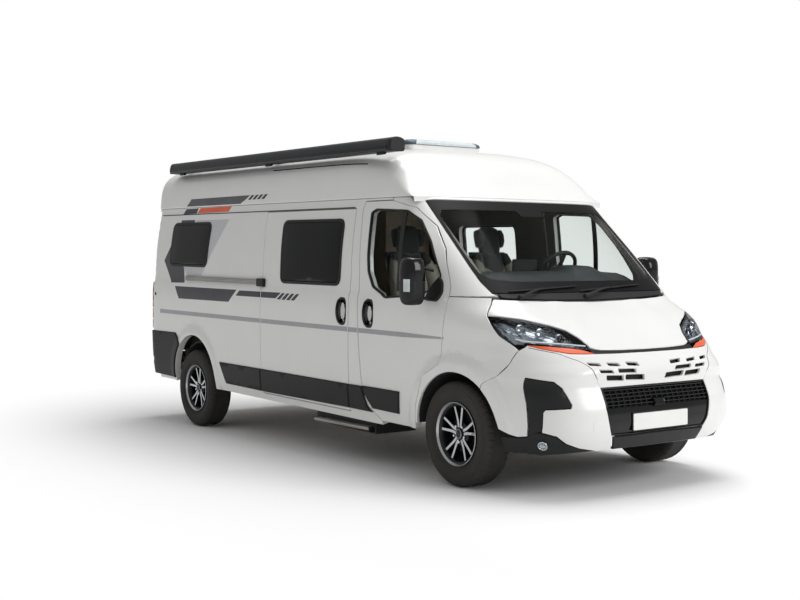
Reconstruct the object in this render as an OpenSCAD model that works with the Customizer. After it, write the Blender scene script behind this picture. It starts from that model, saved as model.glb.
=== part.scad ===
// High-roof camper van: body shell, doors, cab, living furniture, running gear and roof fittings.
// +X is forward, +Y is the van's left and +Z is up. The origin lies on the ground, midway between the
// bumpers and between the sides. The body is drawn level and then raked about the front axle.

/* [Overall] */
// Length over both bumpers
length = 5998; // [5700:1:7200]
// Width of the body at its widest, without the mirrors
body_w = 2050; // [1900:1:2460]
// Height of the roof skin over the ground with the body level
roof_h = 2435; // [2350:1:2950]
// Nose-down tilt of the body on its springs, in degrees
rake = 1.12; // [0:0.01:2]

/* [Axles and wheels] */
// Distance between the axles
wheelbase = 4035; // [3800:1:4200]
// From the front axle to the foremost point of the bumper
front_overhang = 944; // [940:1:1000]
// Distance between the middles of two wheels on one axle
track = 1810; // [1700:1:1850]
// Radius of a loaded tyre
tyre_r = 364; // [340:1:372]
// Width of a tyre
tyre_w = 222; // [195:1:235]
// Radius of the rim where the tyre sits
bead_r = 205; // [190:1:215]
// Radius of the wheel arch in the body sides
arch_r = 428; // [425:1:440]
// Full lock of a front wheel each way, in degrees
steer_lock = 34; // [20:1:35]
// Distance of a steering axis from the middle of the van
kingpin_y = 800; // [780:1:800]

/* [Body heights] */
// Underside of the sills
sill_z = 315; // [300:1:340]
// Top of the load floor
floor_z = 500; // [480:1:540]
// Crease at the waist, where the sides step in
waist_z = 1275; // [1250:1:1290]
// Rain gutter along the sides
gutter_z = 1945; // [1930:1:1960]
// Seam between the sides and the roof
seam_z = 2010; // [2005:1:2020]

/* [Walls] */
// Thickness of a side wall or door, from skin to lining
wall = 62; // [45:1:75]
// Thickness of a rear door
rear_door_t = 55; // [40:1:65]
// Thickness of the roof, from skin to lining
roof_t = 45; // [30:1:60]
// Gap between two panels
gap = 6; // [5:1:8]
// Clearance between a piece and the seat that it rests in
seat_gap = 0.3; // [0.2:0.05:0.5]

/* [Openings in the body] */
// Front edge of the sliding door, ahead of the middle of the van
slide_front = 722; // [700:1:730]
// Length of the sliding door
slide_len = 1390; // [1300:1:1420]
// Half the width of the rear doorway
rear_door_half = 884; // [840:1:890]
// Length of the roof hatch
hatch_len = 620; // [500:1:700]
// Width of the roof hatch
hatch_w = 760; // [600:1:800]

/* [Fittings] */
// Length of the awning case
awning_len = 3850; // [3000:1:3950]
// Length of the tread of the side step
step_len = 800; // [600:1:850]
// Travel of the side step
step_travel = 250; // [150:1:260]

/* [Hidden] */
$fn = 48;

half = body_w / 2;
nose_end = length / 2 - 3;
tail_end = -length / 2;
axle_f = nose_end - front_overhang;
axle_b = axle_f - wheelbase;
far = 4000;
taper_x = axle_f - 1251;
door_back = axle_f - 1192;

// Centre line of the nose and windscreen: height, distance behind the foremost point
NOSE = [[260, 95], [330, 55], [420, 18], [500, 0], [560, 2], [620, 12], [690, 40], [750, 66], [790, 60],
        [840, 50], [900, 85], [955, 137], [1060, 277], [1170, 447], [1265, 635], [1300, 667], [2010, 1460]];
// Narrowing of each half of the body: height, inset from the widest point
INSET = [[260, 60], [320, 42], [450, 20], [600, 9], [900, 0], [1150, 0], [1272, 8], [1292, 18], [1600, 35],
         [1900, 70], [2010, 88]];
// Roundness of the nose in plan: height, exponent along the van and exponent across it
ALONG = [[300, 5], [800, 5], [980, 6], [1150, 8.6], [2010, 8.6]];
ACROSS = [[300, 5], [500, 6], [780, 5.5], [900, 4], [1000, 4], [1150, 5], [1350, 5], [2010, 2.8]];
// Brow of the roof: distance behind its front edge, share of the roof's rise
BROW = [[0, 0], [75, 0.15], [150, 0.35], [200, 0.49], [285, 0.66], [385, 0.79], [485, 0.87], [735, 0.955],
        [1035, 0.99], [1500, 1]];

function nose_x(z) = nose_end - lookup(z, NOSE);
function half_w(z) = half - lookup(z, INSET);
function reach(z) = nose_x(z) - taper_x;
function skin_x(y, z) =
    taper_x + reach(z) * pow(1 - pow(abs(y) / half_w(z), lookup(z, ACROSS)), 1 / lookup(z, ALONG));
function skin_y(x, z) =
    half_w(z) * pow(1 - pow(max(0, x - taper_x) / reach(z), lookup(z, ALONG)), 1 / lookup(z, ACROSS));
// Angle round the nose, from 0 at the middle to 90 at the side, and the point of the skin at that angle
function turn_at_y(y, z) = asin(pow(abs(y) / half_w(z), lookup(z, ACROSS) / 2)) * sign(y);
function turn_at_x(x, z) = acos(pow(max(0, x - taper_x) / reach(z), lookup(z, ALONG) / 2));
function skin_turn(a, z) = [taper_x + reach(z) * pow(cos(a), 2 / lookup(z, ALONG)),
                            sign(a) * half_w(z) * pow(abs(sin(a)), 2 / lookup(z, ACROSS)), z];

roof_half = half_w(seam_z);
brow_x = nose_x(seam_z) - 12;
brow_end = brow_x - 1500;
brow_sweep = 75;
function spread(a, b, n) = [for (i = [0:n]) a + (b - a) * i / n];
// One point of the roof's cross-section, at an angle from 0 on the left to 180 on the right
function roof_point(a, w, rise) = [sign(cos(a)) * w * pow(abs(cos(a)), 0.5), seam_z + rise * pow(sin(a), 0.5)];
function roof_z(y, inset = 0) =
    seam_z + (roof_h - seam_z - inset) * pow(1 - pow(abs(y) / (roof_half - inset), 4), 0.25);

function toward(a, b, d) = a + (b - a) / norm(b - a) * d;
// An outline with its corners rounded
function rounded(p, r, n = 3) = [for (i = [0:len(p) - 1])
    let (c = p[i], a = toward(c, p[(i + len(p) - 1) % len(p)], r), b = toward(c, p[(i + 1) % len(p)], r))
    for (t = spread(0, 1, n)) (1 - t) * (1 - t) * a + 2 * t * (1 - t) * c + t * t * b];
function reversed(p) = [for (i = [len(p) - 1:-1:0]) p[i]];
function rect(a, b) = [a, [b[0], a[1]], b, [a[0], b[1]]];

function grid_normal(p, i, j) = let (m = len(p) - 1, n = len(p[0]) - 1,
    u = p[min(i + 1, m)][j] - p[max(i - 1, 0)][j], v = p[i][min(j + 1, n)] - p[i][max(j - 1, 0)],
    c = cross(u, v)) c / norm(c);

// A curved panel from the rows of points of its outer skin, between two depths below that skin, and never below a height
module panel(p, t, from = 0, low = -far) {
    m = len(p) - 1;
    n = len(p[0]) - 1;
    size = (m + 1) * (n + 1);
    points = [for (d = [from, t]) for (i = [0:m]) for (j = [0:n])
        let (q = p[i][j] - d * grid_normal(p, i, j)) [q[0], q[1], max(low, q[2])]];
    function at(i, j) = i * (n + 1) + j;
    edge = [for (j = [0:n]) at(0, j), for (i = [1:m]) at(i, n), for (j = [n - 1:-1:0]) at(m, j),
            for (i = [m - 1:-1:1]) at(i, 0)];
    faces = [for (i = [0:m - 1]) for (j = [0:n - 1]) each
                 [[at(i, j), at(i, j + 1), at(i + 1, j + 1)], [at(i, j), at(i + 1, j + 1), at(i + 1, j)],
                  [size + at(i, j), size + at(i + 1, j + 1), size + at(i, j + 1)],
                  [size + at(i, j), size + at(i + 1, j), size + at(i + 1, j + 1)]],
             for (k = [0:len(edge) - 1]) let (a = edge[k], b = edge[(k + 1) % len(edge)]) each
                 [[a, size + b, b], [a, size + a, size + b]]];
    polyhedron(points, faces);
}

// What lies in a block right behind a panel: a bracket that the panel rests on
module bracket(p, depth, a, b, reach = 60) {
    intersection() {
        block(a, b);
        panel(p, depth + reach, depth + seat_gap);
    }
}

module raked() {
    translate([axle_f, 0, tyre_r]) rotate([0, rake, 0]) translate([-axle_f, 0, -tyre_r]) children();
}
module both_sides() {
    children();
    mirror([0, 1, 0]) children();
}
module on_side(left) {
    mirror([0, left ? 0 : 1, 0]) children();
}
// An outline in side view, from y0 to y1
module side_prism(p, y0, y1) {
    translate([0, y1, 0]) rotate([90, 0, 0]) linear_extrude(y1 - y0) polygon(p);
}
// An outline in front view, from x0 to x1
module front_prism(p, x0, x1) {
    translate([x0, 0, 0]) rotate([90, 0, 90]) linear_extrude(x1 - x0) polygon(p);
}
module block(a, b) {
    translate(a) cube(b - a);
}
// A length of the left side wall between two depths, measured outwards from the skin
module wall_strip(x0, x1, z0, z1, outer = 0, inner = -wall) {
    zs = [z0, for (r = INSET) if (r[0] > z0 && r[0] < z1) r[0], z1];
    n = len(zs) - 1;
    front_prism([for (z = zs) [half_w(z) + outer, z], for (i = [n:-1:0]) [half_w(zs[i]) + inner, zs[i]]], x0, x1);
}

/* ---- Side walls and their openings ---- */
rear_door_high = 2260;
rear_door_top = [[rear_door_half - 47, seam_z - 20], [rear_door_half - 62, rear_door_high - 50],
                 [rear_door_half - 110, rear_door_high]];
rear_face = [[tail_end + 38, sill_z], [tail_end + 32, 500], [tail_end + 34, 1250], [tail_end + 62, 1900],
             [tail_end + 100, 2200], [tail_end + 140, roof_h - 90], [tail_end + 205, roof_h - 20],
             [tail_end + 290, roof_h + 1]];
module body_length() {
    side_prism([each rear_face, [nose_end, roof_h + 1], [nose_end, sill_z]], -far, far);
}
slide_back = slide_front - slide_len;
slide_low = sill_z + 60;
slide_high = gutter_z - 12;
slide_door = [[slide_back, slide_low], [slide_front, slide_low], [slide_front, slide_high], [slide_back, slide_high]];
slide_window = rounded([[slide_back + 320, 1375], [slide_front - 140, 1362], [slide_front - 105, 1838],
                        [slide_back + 385, 1842]], 62);
rear_window = rounded([[axle_b - 500, 1458], [axle_b + 290, 1458], [axle_b + 322, 1862], [axle_b - 446, 1862]], 62);
left_window = rounded(rect([slide_back + 300, 1400], [slide_front - 300, 1840]), 62);
// Rear and front edges of the cab door: height, place along the van from the front axle
DOOR_BACK = [[345, -900], [361, -930], [440, -1061], [616, -1146], [1020, -1189], [1970, -1233], [1985, -1205]];
DOOR_FRONT = [[345, -458], [519, -434], [733, -350], [833, -163], [1016, -143], [1218, -112], [1368, -107],
              [1434, -137], [1635, -250], [1790, -394], [1930, -601], [1985, -845]];
function door_back(z) = axle_f + lookup(z, DOOR_BACK);
function door_front(z) = axle_f + lookup(z, DOOR_FRONT);
door_zs = [345, 361, 440, 519, 616, 733, 833, 900, 1016, 1150, 1218, 1272, 1292, 1368, 1434, 1535, 1635, 1790, 1930, 1985];
// An outline, listed anticlockwise, grown by a distance on every side
function grown(p, d) = [for (i = [0:len(p) - 1])
    let (u = p[i] - p[(i + len(p) - 1) % len(p)], v = p[(i + 1) % len(p)] - p[i],
         a = [u[1], -u[0]] / norm(u), b = [v[1], -v[0]] / norm(v)) p[i] + d * (a + b) / (1 + a * b)];
door_outline = [for (z = door_zs) [door_front(z), z], for (z = reversed(door_zs)) [door_back(z), z]];
door_hole = grown(door_outline, gap);
function inverse_rake(x, z) = [axle_f + cos(rake) * (x - axle_f) - sin(rake) * (z - tyre_r),
                               tyre_r + sin(rake) * (x - axle_f) + cos(rake) * (z - tyre_r)];
module arches() {
    for (x = [axle_f, axle_b]) let (c = inverse_rake(x, tyre_r))
        translate([c[0], far, c[1]]) rotate([90, 0, 0]) cylinder(r = arch_r, h = 2 * far);
}
module side_wall() {
    difference() {
        intersection() {
            union() {
                wall_strip(tail_end, axle_f - 800, sill_z, seam_z);
                block([tail_end, rear_door_half + gap, 560], [tail_end + 150, half - 70, seam_z]);
            }
            body_length();
        }
        arches();
        side_prism(door_hole, 0, far);
        block([axle_f - 845, 0, 0], [axle_f, far, far]);
        block([tail_end - 1, 0, sill_z - 1], [tail_end + 180, far, 560]);
    }
}
// Buffer on the inside of a post, which a closed door rests against, just behind the door's edge at x
module buffer(x, z, into = 35) {
    d = sign(into);
    wall_strip(min(x - d * (gap + 25), x - d * (gap - 1)), max(x - d * (gap + 25), x - d * (gap - 1)), z, z + 60, -wall + 10, -wall - 18);
    wall_strip(min(x - d * gap, x + into), max(x - d * gap, x + into), z, z + 60, -wall - 2 * seat_gap, -wall - 18);
}
module left_side_panel() {
    color("white") raked() {
        difference() {
            side_wall();
            side_prism(rear_window, 0, far);
            side_prism(left_window, 0, far);
        }
        buffer(axle_f - 1196, 1080);
        rear_buffers();
    }
}
module right_side_panel() {
    color("white") raked() mirror([0, 1, 0]) {
        difference() {
            side_wall();
            side_prism(rear_window, 0, far);
            side_prism([for (p = slide_door) p + gap * [sign(p[0] - slide_front + 1), sign(p[1] - 1000)]], 0, far);
        }
        buffer(axle_f - 1196, 1080);
        buffer(slide_front, 900, -35);
        buffer(slide_back, 900);
        rear_buffers();
    }
}
module rear_buffers() {
    for (z = [900, 1700])
        rear_slab([[rear_door_half - 70, z], [rear_door_half + 20, z], [rear_door_half + 20, z + 60], [rear_door_half - 70, z + 60]],
                  rear_door_t + seat_gap, rear_door_t + 22);
}
module sliding_door() {
    color("white") raked() mirror([0, 1, 0]) difference() {
        wall_strip(slide_back, slide_front, slide_low, slide_high);
        side_prism(slide_window, 0, far);
    }
}
module framed_window(p) {
    centre = (p[0] + p[floor(len(p) / 2)]) / 2;
    intersection() {
        wall_strip(tail_end, nose_end - 1000, 1300, 1950, 14, -22);
        side_prism([for (q = p) toward(q, centre, seat_gap)], 0, far);
    }
}
module side_windows() {
    color("dimgray") raked() {
        framed_window(rear_window);
        framed_window(left_window);
        mirror([0, 1, 0]) {
            framed_window(rear_window);
            framed_window(slide_window);
        }
    }
}
module side_trim() {
    color("#2b2c2e") raked() {
        both_sides() {
            wall_strip(axle_b + arch_r + 20, slide_back - gap - 8, 470, 655, 18, seat_gap);
            wall_strip(tail_end + 170, axle_b - arch_r - 20, 470, 655, 18, seat_gap);
        }
        wall_strip(slide_back, door_back - 60, 470, 650, 18, seat_gap);
        mirror([0, 1, 0]) {
            wall_strip(slide_back + 6, slide_front - 6, 470, 645, 18, seat_gap);
            wall_strip(slide_back - 1440, slide_back - gap, 1345, 1390, 20, seat_gap);
        }
    }
}

/* ---- Roof ---- */
roof_steps = spread(0, 180, 24);
function roof_section(inset) = [for (a = roof_steps) roof_point(a, roof_half - inset, roof_h - seam_z - inset)];
module roof_panel() {
    doorway = grown(rear_door_top, gap);
    color("white") raked() difference() {
        union() {
            intersection() {
                difference() {
                    front_prism(roof_section(0), tail_end - 10, brow_end - seat_gap - 0.2);
                    front_prism([[roof_half - roof_t, seam_z - 50], each roof_section(roof_t), [roof_t - roof_half, seam_z - 50]],
                                tail_end - 20, brow_end + 20);
                }
                body_length();
            }
            rear_slab(roof_section(20), 2, rear_door_t);
        }
        front_prism(concat(doorway, [for (q = reversed(doorway)) [-q[0], q[1]]]), -far, 0);
        block([-far, -far, 0], [far, far, seam_z + seat_gap]);
    }
}
module roof_brow() {
    stations = [for (b = BROW) b[0]];
    color("white") raked() difference() {
        panel([for (d = reversed(stations)) let (rise = max(6, lookup(d, BROW) * (roof_h - seam_z)))
            [for (a = reversed(roof_steps)) let (q = roof_point(a, roof_half, rise))
                [brow_x - d - brow_sweep * pow(q[0] / roof_half, 2) * max(0, 1 - d / 1500), q[0], q[1]]]],
              roof_t, 0, seam_z + seat_gap);
        block([hatch_x - hatch_len / 2 + 40, -hatch_w / 2 + 40, seam_z], [hatch_x + hatch_len / 2 - 40, hatch_w / 2 - 40, far]);
    }
}

/* ---- Roof fittings ---- */
hatch_x = axle_f - 1741;
hatch_base = roof_h - 15;
hatch_rim = roof_h + 36;
module hatch_frame() {
    color("white") raked() difference() {
        block([hatch_x - hatch_len / 2 + 10, -hatch_w / 2 + 10, hatch_base], [hatch_x + hatch_len / 2 - 10, hatch_w / 2 - 10, hatch_rim]);
        block([hatch_x - hatch_len / 2 + 55, -hatch_w / 2 + 55, seam_z], [hatch_x + hatch_len / 2 - 55, hatch_w / 2 - 55, far]);
        front_prism([for (y = spread(-half + 200, half - 200, 24)) [y, roof_z(y) + seat_gap], [half, 0], [-half, 0]], -far, far);
    }
}
module hatch_dome() {
    dome = [[-hatch_len / 2, hatch_rim + seat_gap], [hatch_len / 2, hatch_rim + seat_gap], [hatch_len / 2 - 12, hatch_rim + 36],
            [hatch_len / 2 - 60, hatch_rim + 50], [-hatch_len / 2 + 60, hatch_rim + 50], [-hatch_len / 2 + 12, hatch_rim + 36]];
    color("#46565f") raked() intersection() {
        side_prism([for (p = dome) p + [hatch_x, 0]], -hatch_w / 2, hatch_w / 2);
        front_prism([for (p = dome) [p[0] * hatch_w / hatch_len, p[1]]], hatch_x - hatch_len, hatch_x + hatch_len);
    }
}
awning_out = half - 62;
awning_in = half - 192;
awning_low = roof_h - 82;
awning_top = roof_h + 20;
awning_front = axle_f - 850;
module awning() {
    case = rounded([[awning_out, awning_low], [awning_out, awning_top - 10], [awning_out - 40, awning_top],
                    [awning_in, awning_top], [awning_in, awning_low]], 14);
    color("#3b3e42") raked() mirror([0, 1, 0]) {
        front_prism(case, awning_front - awning_len, awning_front);
        for (x = [awning_front - 200, awning_front - awning_len / 2, awning_front - awning_len + 200])
            front_prism([for (y = spread(awning_in + 8, roof_half - 12, 16)) [y, roof_z(y) + 2 * seat_gap],
                         [roof_half - 12, awning_low + 1], [awning_in + 8, awning_low + 1]], x - 35, x + 35);
    }
}

/* ---- Floor and running gear ---- */
floor_front = axle_f - 490;
floor_back = tail_end + 62;
floor_t = 60;
inner_w = half_w(floor_z - floor_t) - wall - seat_gap;
eye_y = -430;
eye_z = 285;
eye_t = 20;
eye_r = 20;
module floor() {
    color("#7d7f80") raked() {
        difference() {
            union() {
                block([floor_back, -inner_w, floor_z - floor_t], [floor_front, inner_w, floor_z]);
                for (y = [-460, 400]) block([tail_end + 240, y, floor_z - 140], [floor_front, y + 60, floor_z - floor_t]);
                block([tail_end + 100, eye_y - eye_t / 2, eye_z - 42], [tail_end + 260, eye_y + eye_t / 2, floor_z - floor_t]);
            }
            intersection() {
                arches();
                both_sides() block([tail_end, wheel_house_y, 0], [floor_front, far, far]);
            }
            both_sides() block([axle_f - 1210, inner_w - 9, 0], [axle_f, far, far]);
            translate([tail_end + 140, eye_y + eye_t, eye_z]) rotate([90, 0, 0]) cylinder(r = eye_r, h = 2 * eye_t);
        }
    }
}
module wheel_houses() {
    color("#7d7f80") raked() both_sides() wheel_house();
}
wheel_house_y = track / 2 - tyre_w / 2 - 70;
module wheel_house() {
    c = inverse_rake(axle_b, tyre_r);
    difference() {
        intersection() {
            translate([c[0], inner_w, c[1]]) rotate([90, 0, 0]) cylinder(r = arch_r + 18, h = inner_w - wheel_house_y + 15);
            block([c[0] - far, 0, floor_z + seat_gap], [c[0] + far, half, far]);
        }
        translate([c[0], inner_w + 1, c[1]]) rotate([90, 0, 0]) cylinder(r = arch_r, h = inner_w - wheel_house_y + 1);
    }
}
module front_subframe() {
    color("#3a3a3a") {
        raked() {
            both_sides() {
                block([floor_front + seat_gap, 440, 350], [nose_end - 190, 520, floor_z - floor_t - seat_gap]);
                block([axle_f - 60, 440, 430], [axle_f + 60, 520, 600]);
                block([axle_f - 60, 510, 490], [axle_f + 60, 640, 600]);
                block([axle_f + 220, 340 + seat_gap, 370], [axle_f + 300, 450, 430]);
                block([carrier_x, 440, 430], [carrier_x + 60, 466, 950]);
                bracket(lamp_grid, lamp_depth, [carrier_x - 60, 440, 880], [carrier_x + 60, 620, 1000], 50);
                block([carrier_x - 60, 440, 880], [carrier_x + 20, 466, 950]);
                block([carrier_x, 380, 900], [carrier_x + 60, 441, 968]);
            }
            for (y = [-440, 380]) bracket(hood_grid, hood_t, [carrier_x, y, 900], [carrier_x + 60, y + 60, 1060], 30);
            bracket(bumper_grid, bumper_t, [carrier_x, -476, 922], [far, 476, 950]);
        }
        block([axle_f - 110, -439.7, 250], [axle_f + 110, 439.7, 330]);
        both_sides() {
            block([axle_f - 50, 430, 325], [axle_f + 50, 515, 405]);
            block([axle_f - 50, 430, arm_z - 25], [axle_f + 50, kingpin_y + 18, arm_z]);
            translate([axle_f, strut_y, strut_low]) cylinder(r = 26, h = 130);
            translate([axle_f, strut_y, strut_low + 129]) cylinder(r = 55, h = 190);
        }
    }
}
arm_z = 262;
strut_y = kingpin_y - 125;
strut_low = tyre_r + 56;
carrier_x = axle_f + 700;
module engine() {
    color("#55585a") raked() block([axle_f + 80, -340, 350], [axle_f + 560, 340, 900]);
}
module rear_axle() {
    color("#3a3a3a") {
        translate([axle_b, track / 2 - 100, tyre_r]) rotate([90, 0, 0]) cylinder(r = 42, h = track - 200);
        both_sides() {
            block([axle_b - 640, 600, tyre_r + 40], [axle_b + 560, 660, tyre_r + 66]);
            for (x = [axle_b - 640, axle_b + 520])
                block([x, 600, tyre_r + 65], [x + 40, 660, floor_under(x + 40) - seat_gap]);
            translate([axle_b, track / 2 - 36, tyre_r]) rotate([90, 0, 0]) cylinder(r = 55, h = 110);
            hub_stub();
        }
    }
}
// Height over the ground of the raked floor's underside
function floor_under(x) = tyre_r + (floor_z - floor_t - tyre_r) * cos(rake) + sin(rake) * (axle_f - x);
// The stub that carries a wheel at the rear
module hub_stub() {
    translate([axle_b, track / 2 + stub_end, tyre_r]) rotate([90, 0, 0]) cylinder(r = stub_r, h = 100);
}
stub_r = 30;
stub_end = 24;
module underbody() {
    color("#2f3031") raked() {
        block([axle_f - 1750, 130, floor_z - 250], [axle_f - 900, 395, floor_z - floor_t - seat_gap]);
        translate([axle_f - 1300, -250, floor_z - floor_t - 95 - seat_gap]) rotate([0, -90, 0]) cylinder(r = 95, h = 700);
        difference() {
            block([step_x - step_len / 2 - 30, -half + 110, step_z - step_t - 10],
                  [step_x + step_len / 2 + 30, -half + 480, step_z + 80]);
            block([step_x - step_len / 2 - 5, -half, step_z - step_t - 0.5], [step_x + step_len / 2 + 5, -half + 405, step_z + 0.5]);
        }
        for (x = [step_x - 300, step_x + 260])
            block([x, -half + 300, step_z + 79], [x + 40, -half + 340, floor_z - floor_t - seat_gap]);
    }
}

/* ---- Front end ---- */
SCREEN_HALF = [[1300, 815], [1440, 850], [1985, 836]];
screen_low = 1318;
screen_high = 1985;
function screen_half(z) = lookup(z, SCREEN_HALF);
HOOD_LOW = [[0, 960], [250, 967], [484, 997], [700, 1085], [900, 1182], [940, 1196]];
LAMP_LOW = [[478, 962], [860, 980], [890, 1010], [918, 1090]];
HOOD_HIGH = [[0, 1266], [400, 1272], [700, 1285], [840, 1292], [925, 1205]];
WING_FRONT = [[345, 250], [730, 240], [975, 505], [1150, 318], [1190, 266], [1240, 222], [1295, 182]];
function hood_low(y) = lookup(abs(y), HOOD_LOW);
function hood_high(y) = lookup(abs(y), HOOD_HIGH);
function front_grid(ys, low, high, n) = [for (i = [0:len(ys) - 1])
    [for (z = spread(low[i], high[i], n)) [skin_x(ys[i], z), ys[i], z]]];
function lifted(p, d) = [for (i = [0:len(p) - 1]) [for (j = [0:len(p[0]) - 1]) p[i][j] + d * grid_normal(p, i, j)]];
glass_t = 8;
screen_grid = [for (s = spread(-1, 1, 16)) [for (z = spread(screen_low, screen_high, 6))
    [skin_x(s * screen_half(z), z), s * screen_half(z), z]]];
module windscreen() {
    color("#2a3238") raked() panel(screen_grid, glass_t);
}
hood_t = 12;
cowl_gap = 16;
hood_ys = [-925, each spread(-840, 840, 14), 925];
hood_grid = front_grid(hood_ys, [for (y = hood_ys) hood_low(y)], [for (y = hood_ys) hood_high(y)], 6);
module hood() {
    color("white") raked() difference() {
        panel(hood_grid, hood_t);
        both_sides() beside_wing();
    }
}
cowl_t = 16;
cowl_ys = spread(-780, 780, 12);
cowl_grid = front_grid(cowl_ys, [for (y = cowl_ys) hood_high(y) + cowl_gap], [for (y = cowl_ys) screen_low - 4], 2);
module cowl() {
    color("#1f2022") raked() {
        panel(cowl_grid, cowl_t);
        for (y = [30, -640]) let (w = spread(y, y + 600, 6))
            panel(lifted(front_grid(w, [for (i = [0:6]) 1352 - 4 * i], [for (i = [0:6]) 1370 - 4 * i], 1), 14), 13);
    }
}
wing_t = 20;
wing_zs = [345, 519, 616, 700, 733, 800, 850, 975, 1060, 1150, 1190, 1240, 1272, 1295];
wing_grid = [for (z = wing_zs) [for (s = spread(0, 1, 8))
    let (a = door_front(z) + gap, b = axle_f + lookup(z, WING_FRONT), x = a + (b - a) * s) [x, skin_y(x, z), z]]];
module front_wing() {
    difference() {
        panel(wing_grid, wing_t);
        side_prism(door_hole, 0, far);
        arches();
    }
}
// The space that a wing and its gap take at the outer end of a piece beside it
module beside_wing() {
    side_prism([for (z = [975, 1150, 1190, 1240]) [axle_f + lookup(z, WING_FRONT) + gap, z],
                [axle_f, 1240], [axle_f, 975]], 850, far);
}
module front_wings() {
    color("white") raked() both_sides() front_wing();
}
lamp_depth = 60;
lamp_ys = [478, 560, 640, 720, 800, 860, 890, 918];
lamp_grid = front_grid(lamp_ys, [for (y = lamp_ys) lookup(y, LAMP_LOW)], [for (y = lamp_ys) hood_low(y) - gap - 3], 4);
module headlights() {
    color("#c9cdd2") raked() both_sides() panel(lamp_grid, lamp_depth);
}
BUMPER_TOP = [[0, 954], [0.42, 954], [0.9, 968], [1, 970]];
function bumper_turn(z) = turn_at_x(axle_f + (z < 730 ? 246 : lookup(z, WING_FRONT) + gap), z);
function slot(y, z, w, h) = [[y, z], [y + w, z + 7], [y + w + 10, z + 7 + h], [y + 10, z + h]];
SLOTS = [for (i = [0:2]) slot(160 + i * 112, 872, 96, 24), for (i = [0:1]) slot(190 + i * 124, 832, 108, 22),
         for (i = [0:1]) slot(110 + i * 132, 788, 116, 20)];
bumper_t = 18;
bumper_low = 290;
bumper_grid = [for (s = spread(-1, 1, 24)) [for (t = spread(0, 1, 9))
    let (z = bumper_low + (lookup(abs(s), BUMPER_TOP) - bumper_low) * t) skin_turn(s * bumper_turn(z), z)]];
module front_bumper() {
    color("white") raked() difference() {
        panel(bumper_grid, bumper_t);
        arches();
        front_prism([[-497, 735], [497, 735], [465, 609], [454, 425], [-454, 425], [-465, 609]], axle_f + 300, far);
        both_sides() {
            for (p = SLOTS) front_prism(p, axle_f + 300, far);
            front_prism(rounded([[700, 620], [900, 600], [905, 770], [690, 755]], 20), axle_f + 300, far);
        }
    }
}
module grille() {
    color("#1c1d1f") {
        raked() intersection() {
            panel(bumper_grid, bumper_t + 14, bumper_t + seat_gap);
            union() {
                front_prism(rect([-520, 400], [520, 758]), axle_f + 500, far);
                front_prism(rect([-560, 764], [560, 916]), axle_f + 500, far);
                both_sides() front_prism(rect([660, 575], [930, 800]), axle_f + 300, far);
            }
        }
        block([length / 2 - plate_t, -plate_w / 2, plate_z - plate_h / 2], [length / 2, plate_w / 2, plate_z + plate_h / 2]);
        both_sides() block([length / 2 - plate_t - 20, 140, plate_z - 25], [length / 2 - plate_t + 1, 180, plate_z + 25]);
    }
}
// Holder of the front number plate
plate_w = 520;
plate_h = 110;
plate_t = 7;
plate_z = 485;

/* ---- Cab ---- */
post_zs = [1306, 1368, 1434, 1535, 1635, 1790, 1930, 1985, seam_z - seat_gap];
// Outer skin of a screen post, from the cab door to a distance outside the edge of the screen
function post_grid(beyond) = [for (z = post_zs)
    let (a = turn_at_x(door_front(z) + gap, z), b = turn_at_y(screen_half(z) + beyond, z))
    [for (s = spread(0, 1, 4)) skin_turn(a + (b - a) * s, z)]];
module cab_frame() {
    side_post = [[-471, 440], [-446, 440], [-446, 790], [-61, 790], [-61, 1275], [-86, 1275], [-86, 815], [-471, 815]];
    toe = [[-490 + seat_gap, 440], [-440, 440], [-61, 800], [-61, 1256], [250, 1256], [250, 1268], [-86, 1268],
           [-86, 815], [-460, 465], [-490 + seat_gap, 465]];
    color("#dcdcdc") raked() {
        both_sides() difference() {
            union() {
                panel(post_grid(gap), 40);
                panel(post_grid(-28), 46, 26);
            }
            side_prism(door_hole, 0, far);
        }
        both_sides() {
            side_prism([for (p = side_post) p + [axle_f, 0]], 539, 801);
            block([axle_f - 86, 800, 790], [axle_f - 10, 940, 1345]);
            block([axle_f - 471, 800, 440], [axle_f - 446, 930, 790]);
            bracket(wing_grid, wing_t, [axle_f - 70, 870, 1100], [axle_f - 20, half, 1160], 110);
        }
        side_prism([for (p = toe) p + [axle_f, 0]], -540, 540);
        bracket(cowl_grid, cowl_t, [axle_f + 190, -300, 1256], [axle_f + 350, 300, 1290]);
        difference() {
            panel(screen_grid, glass_t + 24, glass_t + seat_gap);
            front_prism(rounded([for (q = [[-1, screen_low + 26], [1, screen_low + 26], [1, screen_high - 26], [-1, screen_high - 26]])
                [q[0] * (screen_half(q[1]) - 30), q[1]]], 40), 0, far);
        }
    }
}
module dashboard() {
    top = [[-86 - seat_gap, 950], [-86 - seat_gap, 1285], [110, 1290], [120, 1308], [-150, 1425], [-260, 1458],
           [-470, 1452], [-540, 1395], [-520, 1200], [-400, 950]];
    hump = [[-470, 1440], [-220, 1440], [-290, 1530], [-430, 1515]];
    color("#26282a") raked() {
        side_prism([for (p = top) p + [axle_f, 0]], -790, 790);
        side_prism([for (p = rounded(hump, 20)) p + [axle_f, 0]], wheel_y - 170, wheel_y + 190);
        translate([wheel_x, wheel_y, wheel_z]) rotate([0, -wheel_tilt, 0])
            translate([0, 0, -hub_depth - seat_gap - 150]) cylinder(r = 32, h = 150);
    }
}
wheel_x = axle_f - 571;
wheel_y = 420;
wheel_z = 1455;
wheel_tilt = 53;
wheel_ring = 188;
hub_depth = 34;
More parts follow.
